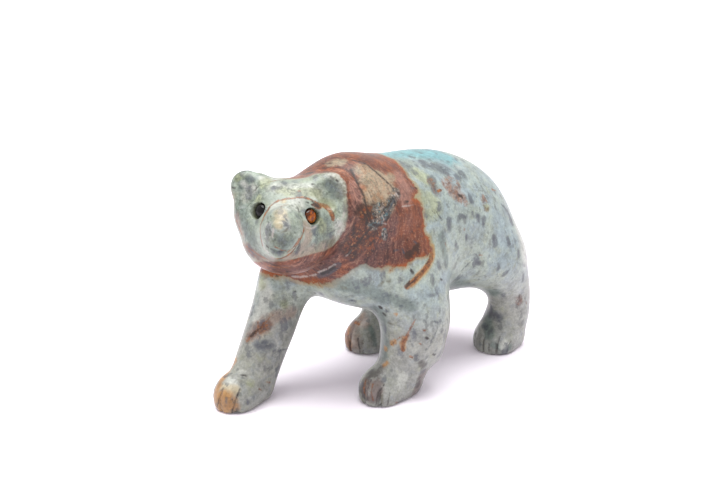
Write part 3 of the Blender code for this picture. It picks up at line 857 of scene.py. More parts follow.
# Soft clouds of colour, by kind: the radius in millimetres, and the pixels of the line it follows
SOFT_MARKS = {
    "teal": (
        (7.5, (384, 154), (394, 153), (404, 152), (414, 152), (424, 152), (434, 153), (444, 156)),
    ),
    # Shade clouds are partly painted shade and shadow: belly, chest under the head, ear hollows, hind legs
    "shade": (
        (2.6, (388, 298), (400, 303), (412, 306)), (2.4, (441, 236), (444, 250), (446, 264)),
        (5.4, (455, 284), (465, 288), (477, 290), (490, 292)),
        (3.8, (338, 284), (352, 287), (368, 290), (384, 298)),
        (4.0, (379, 312), (383, 325), (384, 340), (383, 352)),
        (3.2, (240, 205), (243, 218), (247, 230), (252, 240)),
        (1.1, (237, 180), (244, 178), (250, 181), (240, 187)),
        (2.5, (328, 182), (336, 186), (341, 194), (333, 191)),
        (4.4, (322, 222), (326, 232), (320, 240), (330, 242)),
        (2.6, (274, 238), (282, 240), (288, 240), (283, 247), (275, 252)),
        (1.4, (370, 326), (373, 334), (375, 345)), (2.8, (486, 300), (486, 312), (488, 325), (490, 336)),
        (4.0, (345, 240), (338, 252), (325, 262), (310, 266), (296, 268)),
        (5.0, (360, 256), (372, 257), (384, 258), (394, 256)),
        (3.6, (322, 262), (308, 267), (292, 270), (276, 270)), (3.0, (352, 236), (348, 244), (344, 254)),
        (4.0, (382, 246), (392, 250), (402, 252)), (2.6, (392, 214), (394, 224), (392, 234)),
        (2.4, (314, 266), (328, 262), (340, 254), (348, 244)), (1.8, (492, 344), (500, 348), (510, 347)),
        (2.4, (351, 205), (352, 215), (350, 228), (347, 238)),
    ),
    "moss": (
        (4.0, (405, 190), (412, 196), (420, 197), (430, 199), (436, 208), (430, 214)),
        (3.4, (416, 172), (423, 177), (430, 181)),
        (2.2, (280, 190), (290, 193), (300, 192), (310, 192), (318, 194)),
        (2.0, (263, 182), (268, 180), (263, 186)), (1.6, (236, 178), (242, 175)),
        (1.8, (257, 196), (258, 200)), (2.6, (262, 273), (262, 279), (262, 285)),
        (1.8, (284, 303), (285, 305)), (1.8, (250, 383), (251, 384)),
        (1.8, (320, 220), (323, 226), (322, 231)), (1.6, (487, 205), (487, 209)),
        (2.2, (429, 238), (432, 246), (432, 252)), (2.4, (322, 203), (328, 206), (333, 212)),
        (1.9, (432, 257), (429, 265), (424, 272), (417, 279), (409, 286)),
    ),
    # Cream clouds are mostly a painted highlight, tinted cream, on the snout and the right front toes
    "cream_and_highlight": (
        (1.3, (283, 200.5), (284, 202)), (2.6, (224, 389), (234, 390)),
        (2.8, (280, 213), (279.5, 218), (279, 221)), (1.4, (277, 225), (280, 226)),
    ),
    "smoke": (
        (1.7, (274, 188), (278, 187.5)), (1.5, (281, 240), (284, 244)),
        (2.4, (330, 184), (336, 188), (340, 193)), (1.5, (248, 178), (253, 180)),
        (3.4, (401, 164), (406, 166)), (3.0, (425, 164), (433, 166), (440, 168), (446, 170)),
        (2.4, (460, 173), (463, 176)), (2.4, (431, 178), (434, 187), (436, 192)),
        (1.5, (449, 219), (449, 225), (450, 230)), (1.4, (434, 188), (436, 193)),
        (1.5, (478, 215), (479, 221)), (1.5, (484, 218), (484, 225)), (1.4, (460, 216), (466, 217)),
        (1.6, (494, 237), (495, 245)), (1.4, (504, 207), (509, 214), (512, 222)),
        (1.3, (477, 262), (480, 264)), (1.5, (523, 275), (523, 281)), (1.3, (518, 250), (519, 257)),
        (1.3, (507, 272), (503, 275)), (2.1, (490, 313), (495, 315), (500, 318)),
        (1.5, (483, 325), (486, 328)), (1.3, (466, 236), (467, 240)), (1.3, (456, 244), (457, 249)),
        (1.4, (438, 262), (440, 268)), (1.4, (432, 276), (434, 282)), (1.4, (470, 196), (472, 202)),
        (2.6, (258, 345), (264, 346), (270, 345)), (3.0, (262, 271), (272, 271), (282, 272)),
    ),
    # Bright clouds: painted highlights, reflections and lit sides on snout, ears, back, rump, legs; some pale
    # stone
    "bright": (
        (2.0, (281, 215), (285, 219), (288, 226)), (1.7, (269, 224), (268, 231), (268, 238)),
        (3.6, (262, 285), (265, 295), (262, 306), (258, 316)),
        (3.6, (276, 186), (284, 188), (296, 188), (308, 189), (316, 194)),
        (3.8, (276, 206), (284, 206), (292, 206), (297, 203)),
        (2.4, (330, 173), (338, 175), (343, 181), (345, 190)), (1.6, (262, 178), (268, 179), (276, 179)),
        (2.2, (254, 188), (249, 193), (245, 199)), (2.8, (443, 157), (448, 160), (456, 165)),
        (4.0, (514, 218), (519, 232), (523, 246), (526, 262)), (2.4, (402, 376), (401, 384)),
        (2.6, (338, 224), (341, 229), (338, 235)), (2.4, (228, 380), (234, 386), (228, 389)),
        (2.0, (506, 343), (503, 348)), (1.5, (243, 183), (247, 187)), (1.8, (352, 334), (352, 342)),
    ),
    "blush": (
        (3.6, (252, 333), (260, 327), (267, 322)), (3.0, (276, 317), (285, 315), (293, 312)),
        (2.0, (237, 215), (239, 226), (243, 236)), (3.0, (245, 248), (255, 257), (268, 264), (282, 267)),
        (2.4, (306, 226), (309, 232), (307, 240), (303, 246), (298, 252)),
        (3.0, (222, 396), (228, 402), (233, 408)), (3.0, (447, 184), (452, 190), (460, 197)),
        (2.6, (363, 315), (365, 325)), (2.6, (288, 257), (300, 254), (312, 251), (322, 248), (332, 242)),
        (4.0, (352, 326), (353, 336), (354, 346)),
    ),
    "plum": (
        (2.8, (248, 250), (257, 256), (266, 259), (276, 261), (286, 262)), (1.8, (518, 296), (520, 304)),
        (3.0, (366, 382), (366, 392), (372, 398), (377, 390), (376, 384)),
        (2.0, (250, 336), (256, 331), (262, 327), (268, 325)), (1.6, (355, 318), (352, 326), (350, 336)),
        (2.6, (424, 372), (420, 382), (416, 392)),
    ),
    "char": (
        (3.0, (371, 374), (376, 376), (380, 372)), (1.2, (363, 384), (362, 392), (366, 399)),
        (1.8, (421, 362), (424, 367)), (1.4, (419, 378), (418, 386)),
        (2.0, (361, 217), (367, 224), (373, 226)), (1.8, (408, 256), (414, 251), (419, 247)),
        (5.0, (366, 215), (369, 222), (365, 231), (360, 239), (352, 247)),
    ),
    "ochre": (
        (3.4, (217, 402), (223, 398), (229, 400), (231, 406), (224, 408), (218, 408)),
        (2.2, (235, 361), (228, 371), (222, 379), (217, 388), (214, 396), (214, 403)),
        (1.3, (405, 338), (403, 344), (403, 350)), (1.5, (330, 212), (326, 208)),
        (1.6, (432, 246), (432.5, 256), (429, 265), (421, 274), (411, 284)),
        (2.8, (348, 330), (346, 338), (349, 346)), (1.2, (318, 205), (324, 207)),
        (0.9, (395, 314), (396.5, 314.5)), (1.0, (384, 348), (387, 349)), (1.2, (383, 366), (388, 363)),
        (1.1, (391, 344), (396, 341)),
    ),
    "flame": (
        (4.0, (402, 212), (410, 222), (412, 234)), (2.4, (352, 196), (355, 206), (358, 214)),
        (2.2, (362, 164), (370, 168), (380, 170)), (2.6, (308, 171), (322, 165), (338, 160)),
        (2.0, (357, 211), (359, 215)), (3.0, (336, 170), (343, 173), (349, 180), (351, 190)),
        (2.2, (378, 262), (372, 265)), (2.2, (402, 265), (410, 260), (416, 256), (422, 253)),
        (2.0, (428, 240), (430, 247)), (2.4, (394, 262), (392, 267)),
        (2.0, (300, 281), (312, 284), (324, 282), (336, 278), (346, 273)),
        (2.0, (398, 166), (403, 172), (394, 170)),
    ),
    "lichen": (
        (1.8, (234, 186), (238, 178), (245, 174)),
        (2.6, (258, 188), (266, 186), (275, 188), (290, 190), (305, 190), (318, 188)),
        (3.0, (330, 180), (338, 184), (342, 194)), (3.2, (242, 200), (245, 212), (248, 226)),
        (4.0, (334, 218), (330, 228), (324, 236), (318, 244), (336, 238)),
        (2.4, (262, 238), (265, 248), (271, 254), (280, 256)),
        (2.0, (290, 206), (297, 208), (300, 216), (298, 226)), (2.0, (256, 198), (262, 199), (254, 206)),
        (2.2, (272, 236), (277, 244), (284, 240), (289, 236)), (2.4, (284, 303), (290, 300), (280, 310)),
    ),
    "scab": (
        (2.2, (431, 182), (434, 187), (437, 191)), (2.8, (446, 184), (452, 182), (457, 187), (451, 190)),
        (2.6, (456, 194), (462, 199), (466, 203)), (2.0, (483, 198), (485, 203), (486, 208)),
        (2.4, (425, 240), (428, 246), (429, 252)), (2.0, (247, 340), (253, 334), (260, 328), (267, 325)),
        (1.2, (408, 334), (404, 341), (403, 349)), (1.6, (519, 295), (519, 303)),
        (2.6, (347, 332), (347, 341), (350, 349)), (2.0, (356, 322), (361, 318)),
    ),
    "crack": (
        (1.9, (397, 192), (393, 200), (388, 208), (385, 215), (380, 222), (372, 226)),
        (1.1, (384, 230), (385, 238)), (1.8, (378, 208), (384, 206), (376, 213)),
    ),
    "ember": (
        (4.6, (374, 226), (368, 233), (362, 240), (356, 247)), (3.0, (366, 213), (369, 220)),
        (3.2, (378, 234), (374, 242), (368, 248)),
    ),
    "rose": (
        (4.0, (400, 178), (406, 188), (404, 198)), (3.0, (354, 186), (357, 200), (359, 214)),
    ),
    "tan": (
        (3.4, (362, 170), (370, 174), (366, 181)),
        (5.0, (377, 179), (384, 186), (383, 195), (376, 201), (383, 202)),
        (3.4, (371, 190), (373, 203), (378, 210)), (2.0, (386, 182), (392, 176)),
        (2.2, (330, 164), (337, 161), (342, 162)),
    ),
}


# Painting: the marks become distances kept on the mesh

# Offset kept where a kind has no mark, the step along a mark in pixels, the longest bit that isn't a leap
# to a farther part of the bear, and how many radii a cloud reaches
FAR_AWAY = 30.0
STEP_PX = 2.0
LONGEST_BIT = 8.0
CLOUD_REACH = 1.5

# How strongly the shells along which the neck's streaks run bend round the head's axis
SHELL_BEND = 0.010

# Soft edge of a socket's share inside and outside its rim, and the share of the mouth in the grooves
SOCKET_EDGE_IN = 0.25
SOCKET_EDGE_OUT = 0.1
MOUTH_SHARE = 0.25
GROOVE_FOOT = 0.3

FINE_KINDS = ("rust", "dark", "fleck", "slate", "pale", "olive")
SOFT_KINDS = ("shade", "bright", "teal", "moss", "smoke", "blush", "cream_and_highlight", "ochre", "plum", "char",
              "lichen", "scab", "tan", "flame", "rose", "crack", "ember")

# Slope of the face's lower edge across the jaw, and where across the head it is measured from
JAW_SLOPE = 0.2
JAW_SIDE = 10.8

# Corners that close the patch's edge lines, well outside the bear or above and behind the face
BEHIND_FRONT = -90.0
BEHIND_TOP = 110.0
FACE_FRONT = -60.0
FACE_TOP = 60.0
FACE_BACK = ((7.0, FACE_TOP), (7.0, 17.0), (0.0, 15.0))

# Random marks on the unseen sides: how far these are turned away and off the floor, how many marks there
# are, of which kinds, and how long and wide
TURNED_AWAY = -0.05
ABOVE_SOLE = 1.0
RANDOM_LINES = 150
RANDOM_CLOUDS = 40
RANDOM_FINE = ("fleck", "fleck", "fleck", "dark", "slate", "olive", "slate")
RANDOM_SOFT = ("smoke", "moss", "blush", "shade", "bright")
LINE_HALF = (0.2, 1.4)
LINE_RADIUS = (0.2, 0.55)
CLOUD_RADIUS = (2.0, 5.0)

Sample = namedtuple("Sample", "place along half radius")


def pixel_ray(pixel):
    """Direction in which the camera sees a pixel of the photograph."""
    focal = LENS_MM / SENSOR_MM * PHOTO_WIDTH
    across = (pixel[0] - PHOTO_WIDTH / 2) / focal
    up = (PHOTO_HEIGHT / 2 - pixel[1]) / focal
    way = np.array((across, up, 1.0)) @ CAMERA_AXES
    return way / np.linalg.norm(way)


def seen_place(tree, pixel):
    """Where the camera sees a pixel of the photograph on the carving, or None beside it."""
    place = tree.ray_cast(Vector(CAMERA_PLACE), Vector(pixel_ray(pixel)))[0]
    return None if place is None else np.array(place)


def seen_line(tree, pixels):
    """The places where the camera sees the pixels, without those beside the carving."""
    places = [seen_place(tree, pixel) for pixel in pixels]
    return [place for place in places if place is not None]


def dense(points):
    """The mark's points with further ones between them."""
    line = [np.array(points[0], float)]
    for a, b in zip(points, points[1:]):
        a, b = np.array(a, float), np.array(b, float)
        steps = max(1, math.ceil(np.linalg.norm(b - a) / STEP_PX))
        line += [a + (b - a) * k / steps for k in range(1, steps + 1)]
    return line


def samples_of(places, radius):
    """Short straight bits that follow the places of a line on the stone."""
    if len(places) == 1:
        return [Sample(places[0], np.array((0, 0, 1.0)), 0.0, radius)]
    bits = []
    for a, b in zip(places, places[1:]):
        length = np.linalg.norm(b - a)
        if 0 < length < LONGEST_BIT:
            bits.append(Sample((a + b) / 2, (b - a) / length, length / 2, radius))
    return bits


def lay_marks(tree, marks, samples):
    """Lay marks on the stone, where the camera sees them, and add their bits to those of their kinds."""
    for kind, lines in marks.items():
        for radius, *pixels in lines:
            samples[kind] += samples_of(seen_line(tree, dense(pixels)), radius)


def soft_cloud(points, samples):
    """1 in the middle of the cloud round the samples, falling evenly to 0 beyond its radius."""
    cloud = np.zeros(len(points))
    for sample in samples:
        reach = np.linalg.norm(points - sample.place, axis=1)
        cloud = np.maximum(cloud, 1 - reach / (CLOUD_REACH * sample.radius))
    return cloud


def polygon_distance(points, outline):
    """Distance of flat points to a closed outline, negative inside."""
    best = np.full(len(points), np.inf)
    inside = np.zeros(len(points), bool)
    for a, b in zip(outline, np.roll(outline, -1, axis=0)):
        way = b - a
        t = np.clip((points - a) @ way / max(way @ way, SMALLEST), 0, 1)
        best = np.minimum(best, np.linalg.norm(points - a - t[:, None] * way, axis=1))
        crosses = (a[1] > points[:, 1]) != (b[1] > points[:, 1])
        if a[1] != b[1]:
            side = a[0] + (points[:, 1] - a[1]) * (b[0] - a[0]) / (b[1] - a[1])
            inside ^= crosses & (points[:, 0] < side)
    return np.where(inside, -best, best)


def face_plane(points):
    """Points seen from the head's side: back and up, with the jaw's slope taken out."""
    across, forward, up = head_offsets(points)
    return np.stack((-forward, up + JAW_SLOPE * (JAW_SIDE - across)), -1)


def patch_distance(points, tree):
    """Distance to the edge of the red-brown patch round the neck, negative inside it."""
    rear = np.array(seen_line(tree, PATCH_REAR))
    corners = ((BEHIND_FRONT, rear[-1, 2]), (BEHIND_FRONT, BEHIND_TOP), (rear[0, 1], BEHIND_TOP))
    behind = np.concatenate((rear[:, 1:], corners))
    face = face_plane(np.array(seen_line(tree, PATCH_FRONT)))
    ahead = np.concatenate((face, ((FACE_FRONT, face[-1, 1]), (FACE_FRONT, FACE_TOP), *FACE_BACK)))
    return np.maximum(polygon_distance(points[:, 1:], behind),
                      -polygon_distance(face_plane(points), ahead))


def random_marks(points, normals, seed=7):
    """Flecks, blotches and short veins on the sides that the photograph doesn't show."""
    dice = np.random.default_rng(seed)
    fine = {kind: [] for kind in FINE_KINDS}
    soft = {kind: [] for kind in SOFT_KINDS}
    toward = CAMERA_PLACE - points
    toward /= np.linalg.norm(toward, axis=1)[:, None]
    unseen = np.nonzero(((normals * toward).sum(1) < TURNED_AWAY) & (points[:, 2] > ABOVE_SOLE))[0]
    for index in dice.choice(unseen, RANDOM_LINES, replace=False):
        kind = dice.choice(RANDOM_FINE)
        along = np.cross(normals[index], dice.normal(size=3))
        along /= np.linalg.norm(along)
        half = dice.uniform(*LINE_HALF)
        fine[kind].append(Sample(points[index], along, half, dice.uniform(*LINE_RADIUS)))
    for index in dice.choice(unseen, RANDOM_CLOUDS, replace=False):
        kind = dice.choice(RANDOM_SOFT)
        soft[kind].append(Sample(points[index], np.zeros(3), 0.0, dice.uniform(*CLOUD_RADIUS)))
    return fine, soft


def read_back(items, name):
    """One whole number of each of the mesh's corners or faces, as an array."""
    values = np.zeros(len(items), int)
    items.foreach_get(name, values)
    return values


def keep_number(mesh, name, values):
    """Keep one number per vertex."""
    attribute = mesh.attributes.new(name, "FLOAT", "POINT")
    attribute.data.foreach_set("value", np.asarray(values, np.float32))


def keep_offsets(mesh, name, points, centres, samples):
    """Keep at each face's corners their offsets from the mark nearest to the face, and its radius."""
    corners = read_back(mesh.loops, "vertex_index")
    values = np.tile(np.array((FAR_AWAY, 0, 0, 1.0)), (len(corners), 1))
    if samples:
        tree = kdtree.KDTree(len(samples))
        for index, sample in enumerate(samples):
            tree.insert(sample.place, index)
        tree.balance()
        nearest = np.array([tree.find(centre)[1] for centre in centres])
        owner = np.repeat(nearest, read_back(mesh.polygons, "loop_total"))
        place, along, half, radius = (np.array(column)[owner] for column in zip(*samples))
        offset = points[corners] - place
        shift = np.clip((offset * along).sum(1), -half, half)
        values[:, :3] = offset - shift[:, None] * along
        values[:, 3] = radius
    attribute = mesh.attributes.new(name, "FLOAT_COLOR", "CORNER")
    attribute.data.foreach_set("color", values.astype(np.float32).ravel())


def socket_share(points):
    """1 inside the drilled eye sockets, 0 outside their rims."""
    share = np.zeros(len(points))
    for eye in EYES:
        reach, height = eye_offsets(points, eye)
        inside = 1 - ramp(reach, FLOOR_R - SOCKET_EDGE_IN, RIM_R + SOCKET_EDGE_OUT)
        share = np.maximum(share, inside * (np.abs(height) < RIM_ZONE))
    return share


def groove_share(points):
    """How deep each point lies in a toe cut or, fainter, in the mouth."""
    share = np.maximum(0, MOUTH_SHARE * mouth_cut(points) / MOUTH_DEPTH)
    for leg in LEGS.values():
        share = np.maximum(share, toe_cuts(points, leg) / GROOVE_DEPTH)
    return share * (points[:, 2] > GROOVE_FOOT)


def paint(mesh, points):
    """Keep on the mesh every distance that its material reads."""
    normals = np.array([vertex.normal[:] for vertex in mesh.vertices])
    faces = [tuple(face.vertices) for face in mesh.polygons]
    centres = np.array([np.mean(points[list(face)], axis=0) for face in faces])
    tree = BVHTree.FromPolygons(points.tolist(), faces)
    fine, soft = random_marks(points, normals)
    for marks in FINE_MARKS:
        lay_marks(tree, marks, fine)
    lay_marks(tree, SOFT_MARKS, soft)
    for kind in FINE_KINDS:
        keep_offsets(mesh, kind, points, centres, fine[kind])
    for kind in SOFT_KINDS:
        keep_number(mesh, kind, soft_cloud(points, soft[kind]))

    keep_number(mesh, "patch", patch_distance(points, tree))
    across, forward, up = head_offsets(points)
    keep_number(mesh, "flow_shell", -forward + SHELL_BEND * (across ** 2 + up ** 2))
    keep_number(mesh, "flow_across", across)
    keep_number(mesh, "flow_up", up)
    keep_number(mesh, "socket", socket_share(points))
    keep_number(mesh, "groove", groove_share(points))
    keep_number(mesh, "height", points[:, 2])


# Materials

# Albedo of stone that shows as white in the photograph, and the gamma of a shown colour
WHITE_ALBEDO = 0.50
DISPLAY_GAMMA = 2.2

# How far a noise round 0.5 is spread out round 0
NOISE_SPREAD = 2.6

# A whole fleck's radius, and the width of its soft edge, in parts of a cell
FLECK_RADIUS = 0.5
FLECK_EDGE = 0.2

# Places of the two colours, and of the mixed colour, among a Mix node's sockets
MIX_FIRST = 6
MIX_SECOND = 7
MIX_RESULT = 2


def seen(red, green, blue):
    """Albedo that shows as this colour, picked from the photograph, where the stone is well lit."""
    return tuple(WHITE_ALBEDO * (c / 255) ** DISPLAY_GAMMA for c in (red, green, blue)) + (1.0,)


class Graph:
    """Short calls that add and join the nodes of one material."""

    def __init__(self, name):
        self.material = bpy.data.materials.new(name)
        self.material.use_nodes = True
        self.tree = self.material.node_tree
        self.shader = self.tree.nodes["Principled BSDF"]

    def put(self, socket, value):
        """Link a socket, or set a plain value."""
        if isinstance(value, bpy.types.NodeSocket):
            self.tree.links.new(value, socket)
        else:
            socket.default_value = value

    def shade(self, **values):
        """Link or set inputs of the shader, named with _ for a space."""
        for name, value in values.items():
            self.put(self.shader.inputs[name.replace("_", " ")], value)

    def add(self, kind, inputs=None, **settings):
        """A new node with its settings made and its inputs linked or set."""
        node = self.tree.nodes.new("ShaderNode" + kind)
        for name, value in settings.items():
            setattr(node, name, value)
        for socket, value in (inputs or {}).items():
            self.put(node.inputs[socket], value)
        return node

    def place(self):
        """The place on the object, in millimetres."""
        return self.scaled(self.add("TexCoord").outputs["Object"], 1 / MM)

    def vector(self, operation, a, b):
        """Two vectors put together by an operation."""
        return self.add("VectorMath", {0: a, 1: b}, operation=operation).outputs["Vector"]

    def scaled(self, vector, factor):
        """The vector made longer by a factor."""
        return self.add("VectorMath", {0: vector, "Scale": factor}, operation="SCALE").outputs["Vector"]

    def length(self, vector):
        """The length of a vector."""
        return self.add("VectorMath", {0: vector}, operation="LENGTH").outputs["Value"]

    def math(self, operation, a, b=0.0):
        """Two numbers put together by an operation."""
        return self.add("Math", {0: a, 1: b}, operation=operation).outputs[0]

    def sum(self, first, *others):
        """Sum of numbers."""
        for value in others:
            first = self.math("ADD", first, value)
        return first

    def times(self, first, *others):
        """Product of numbers."""
        for value in others:
            first = self.math("MULTIPLY", first, value)
        return first

    def number(self, name):
        """A number kept on the mesh."""
        return self.add("Attribute", attribute_name=name).outputs["Fac"]

    def noise(self, where, size, detail=3.0, rough=0.55, warp=0.0, output="Fac"):
        """Noise whose lumps are about this many millimetres across."""
        inputs = {"Vector": where, "Scale": 1 / size, "Detail": detail, "Roughness": rough,
                  "Distortion": warp}
        return self.add("TexNoise", inputs).outputs[output]

    def centred(self, value):
        """A noise spread out on both sides of 0."""
        return self.times(self.math("SUBTRACT", value, 0.5), NOISE_SPREAD)

    def centred_noises(self, *noise):
        """Three unlike noises of the same kind, each spread out on both sides of 0."""
        colour = self.noise(*noise, output="Color")
        return [self.centred(socket) for socket in self.add("SeparateColor", {0: colour}).outputs]

    def ramp(self, value, low, high):
        """0 at low, 1 at high, smooth between them."""
        inputs = {"Value": value, "From Min": low, "From Max": high}
        return self.add("MapRange", inputs, interpolation_type="SMOOTHSTEP").outputs["Result"]

    def thread(self, value, width):
        """1 along the lines where a number is 0, falling to 0 beside them."""
        return self.ramp(self.math("ABSOLUTE", value), width, 0.0)

    def mixed(self, share, a, b):
        """Colour a, turned into b by the share."""
        inputs = {"Factor": share, MIX_FIRST: a, MIX_SECOND: b}
        return self.add("Mix", inputs, data_type="RGBA").outputs[MIX_RESULT]

    def tinted(self, colour, tint, *shares):
        """The colour turned into a tint of the photograph by the product of the shares."""
        return self.mixed(self.times(*shares), colour, seen(*tint))

    def textured(self, colour, *layers):
        """The colour made lighter and darker by noises, each with its strength."""
        return self.scaled(colour, self.sum(1.0, *(self.times(*layer) for layer in layers)))

    def flecks(self, where, size, share, rag):
        """Share of separate soft flecks in a share of cells about this many millimetres across."""
        cells = self.add("TexVoronoi", {"Vector": where, "Scale": 1 / size})
        chance = self.add("SeparateColor", {0: cells.outputs["Color"]}).outputs[0]
        radius = self.times(self.ramp(chance, 1 - share, 1.0), FLECK_RADIUS)
        reach = self.math("ADD", self.math("SUBTRACT", cells.outputs["Distance"], radius), rag)
        return self.ramp(reach, 0.0, -FLECK_EDGE)

    def cloud(self, name, blot, ragged, low=0.15, high=0.75):
        """Share of a kind of soft cloud, broken up by a blotchy number."""
        return self.ramp(self.times(self.number(name), self.sum(self.times(blot, ragged), 1.0)), low, high)

    def mark(self, name, wander, rag, wobble, soft):
        """Share of a kind of fine mark, with a wandering line and a ragged edge."""
        nearest = self.add("Attribute", attribute_name=name)
        offset = self.vector("ADD", nearest.outputs["Vector"], self.scaled(wander, wobble))
        reach = self.math("SUBTRACT", self.length(offset), nearest.outputs["Alpha"])
        return self.ramp(self.sum(reach, rag), soft, -soft)

    def bump(self, height, strength, distance):
        """A normal that shows small heights, whose full size is in metres."""
        inputs = {"Strength": strength, "Distance": distance, "Height": height}
        return self.add("Bump", inputs).outputs["Normal"]


class Grain:
    """Noises that several layers of the stone share, from wide blots to grit."""

    def __init__(self, g, place):
        self.place = place
        self.blots = g.centred_noises(place, 3.8, 6, 0.70, 0.2)
        self.fine = g.centred_noises(place, 1.4, 4, 0.72, 0.1)
        self.mottle = g.centred(g.noise(place, 5.5, 6, 0.66, 0.3))
        self.grit = g.centred(g.noise(place, 0.8, 2, 0.6))
        self.wander = g.vector("SUBTRACT", g.noise(place, 2.2, 3, 0.6, output="Color"), (0.5, 0.5, 0.5))
        self.rag = g.sum(g.times(self.fine[0], 0.30), g.times(self.blots[1], 0.45))


# Finish of the stone and of the beads: middle roughness, the stone's shine, and the strength and full
# height of the pits, in metres
STONE_ROUGHNESS = 0.34
STONE_SHINE = 0.4
PIT_STRENGTH = 0.25
PIT_HEIGHT = 0.0003
BEAD_ROUGHNESS = 0.07
BEAD_PIT_STRENGTH = 0.04
BEAD_PIT_HEIGHT = 0.0001

# Paper of the floor: its two near whites, its faint glow, and how matt it is
PAPER_DARK = (0.94, 0.905, 0.955, 1)
PAPER_LIGHT = (0.96, 0.925, 0.975, 1)
PAPER_GLOW = (1.0, 0.88, 1.0, 1.0)
GLOW_STRENGTH = 0.05
PAPER_ROUGHNESS = 0.8
PAPER_SHINE = 0.1

# How far the patch's streaks bend aside, and how slowly they change along their own course
FLOW_BEND = 9.0
FLOW_SLOWNESS = 0.18

# Clouds on the pale stone and in the patch: kind, tint, share and raggedness
# Shade clouds are partly painted shade and shadow, bright and cream ones partly painted highlights
STONE_CLOUDS = (
    ("shade", (132, 149, 141), 0.8, 0.7), ("bright", (228, 233, 220), 0.85, 0.6),
    ("teal", (134, 200, 206), 0.85, 0.6), ("moss", (188, 196, 150), 0.65, 1.0),
    ("smoke", (106, 113, 120), 0.72, 1.8), ("blush", (184, 148, 128), 0.55, 1.0),
    ("cream_and_highlight", (228, 212, 172), 0.8, 0.8), ("ochre", (212, 158, 92), 0.85, 0.9),
    ("plum", (122, 94, 88), 0.65, 1.6), ("char", (80, 72, 70), 0.7, 1.6),
)
PATCH_CLOUDS = (
    ("rose", (186, 144, 130), 0.6, 1.2), ("flame", (190, 100, 50), 0.85, 1.4),
    ("shade", (110, 74, 68), 0.75, 1.0), ("tan", (200, 184, 154), 0.92, 1.2),
)

# Fine marks in the order in which they cover each other: kind, tint, share, wobble and softness. The
# rust's tint is mixed from two
# The dark marks in the toe cuts and the olive one under the nose are painted shade; one pale one a highlight
MARK_TINTS = (
    ("fleck", (96, 98, 106), 0.65, 0.9, 0.6), ("olive", (112, 108, 78), 0.7, 0.9, 0.5),
    ("slate", (82, 90, 100), 0.75, 0.8, 0.4), ("pale", (234, 226, 214), 0.65, 0.6, 0.32),
    ("rust", None, 0.95, 0.5, 0.3), ("dark", (58, 50, 46), 0.9, 0.6, 0.38),
)


def layered(g, grain, colour, clouds, low, high):
    """The colour with soft clouds laid over it, and the share of the last of them."""
    for order, (name, tint, share, ragged) in enumerate(clouds):
        level = g.cloud(name, grain.blots[order % 3], ragged, low, high)
        colour = g.tinted(colour, tint, level, share)
    return colour, level


def base_stone(g, grain):
    """Pale stone, blue-green above and greyer on the legs."""
    cloud = g.ramp(g.noise(grain.place, 17, 4, 0.65, 0.6), 0.38, 0.60)
    colour = g.mixed(cloud, seen(195, 210, 195), seen(180, 199, 200))
    colour = g.tinted(colour, (188, 203, 182), g.ramp(g.number("flow_shell"), 10, 2), 0.85)
    colour = g.tinted(colour, (188, 188, 176), g.ramp(g.number("height"), 46, 24), 0.8)
    colour = g.tinted(colour, (190, 196, 162), g.ramp(grain.blots[2], 0.0, 0.45), 0.45)
    return g.tinted(colour, (166, 176, 182), g.ramp(grain.blots[0], 0.0, 0.45), 0.45)


def flecked(g, grain, colour):
    """Mottling and soft upright flecks over the clouds."""
    colour = g.textured(colour, (grain.mottle, 0.48), (grain.fine[1], 0.36), (grain.blots[1], 0.26),
                        (grain.grit, 0.24))
    upright = g.vector("MULTIPLY", grain.place, (1.0, 1.0, 0.5))
    bent = g.vector("ADD", upright, g.scaled(grain.wander, 1.6))
    rag = g.times(grain.rag, 0.5)
    large = g.times(g.flecks(bent, 4.2, 0.75, rag), g.ramp(grain.mottle, 0.35, -0.1))
    colour = g.tinted(colour, (100, 106, 118), large, 0.65)
    return g.tinted(colour, (110, 114, 116), g.flecks(bent, 2.4, 0.55, rag), 0.5)


def crusted(g, grain, colour):
    """Marbled olive crust, specks and threads on the face, and rusty crust in the cracks."""
    lichen = g.cloud("lichen", grain.blots[0], 0.6, 0.0, 0.6)
    colour = g.tinted(colour, (140, 152, 122), lichen, g.ramp(grain.blots[1], -0.2, 0.3), 0.4)
    rough = g.sum(g.times(grain.fine[2], 0.8), g.times(grain.blots[2], 0.5), g.times(grain.grit, 0.4))
    colour = g.textured(colour, (g.times(lichen, rough), 0.7))
    colour = g.tinted(colour, (92, 102, 86), lichen, g.ramp(grain.fine[2], -0.15, -0.45), 0.5)
    face = g.ramp(g.number("flow_shell"), 12, 6)
    specks = g.flecks(grain.place, 1.5, 0.6, g.times(grain.fine[1], 0.5))
    colour = g.tinted(colour, (104, 116, 98), specks, g.ramp(grain.mottle, 0.3, -0.15), face, 0.6)
    threads = g.thread(g.sum(grain.fine[0], g.times(grain.blots[0], 0.4)), 0.07)
    colour = g.tinted(colour, (122, 124, 96), threads, face, g.ramp(grain.blots[1], -0.1, 0.3), 0.5)
    scab = g.cloud("scab", grain.blots[1], 2.2, 0.15, 0.7)
    crust = g.mixed(g.ramp(grain.fine[0], -0.3, 0.3), seen(100, 74, 66), seen(178, 126, 90))
    return g.mixed(g.times(scab, g.ramp(grain.blots[2], -0.3, 0.2), 0.78), colour, crust)


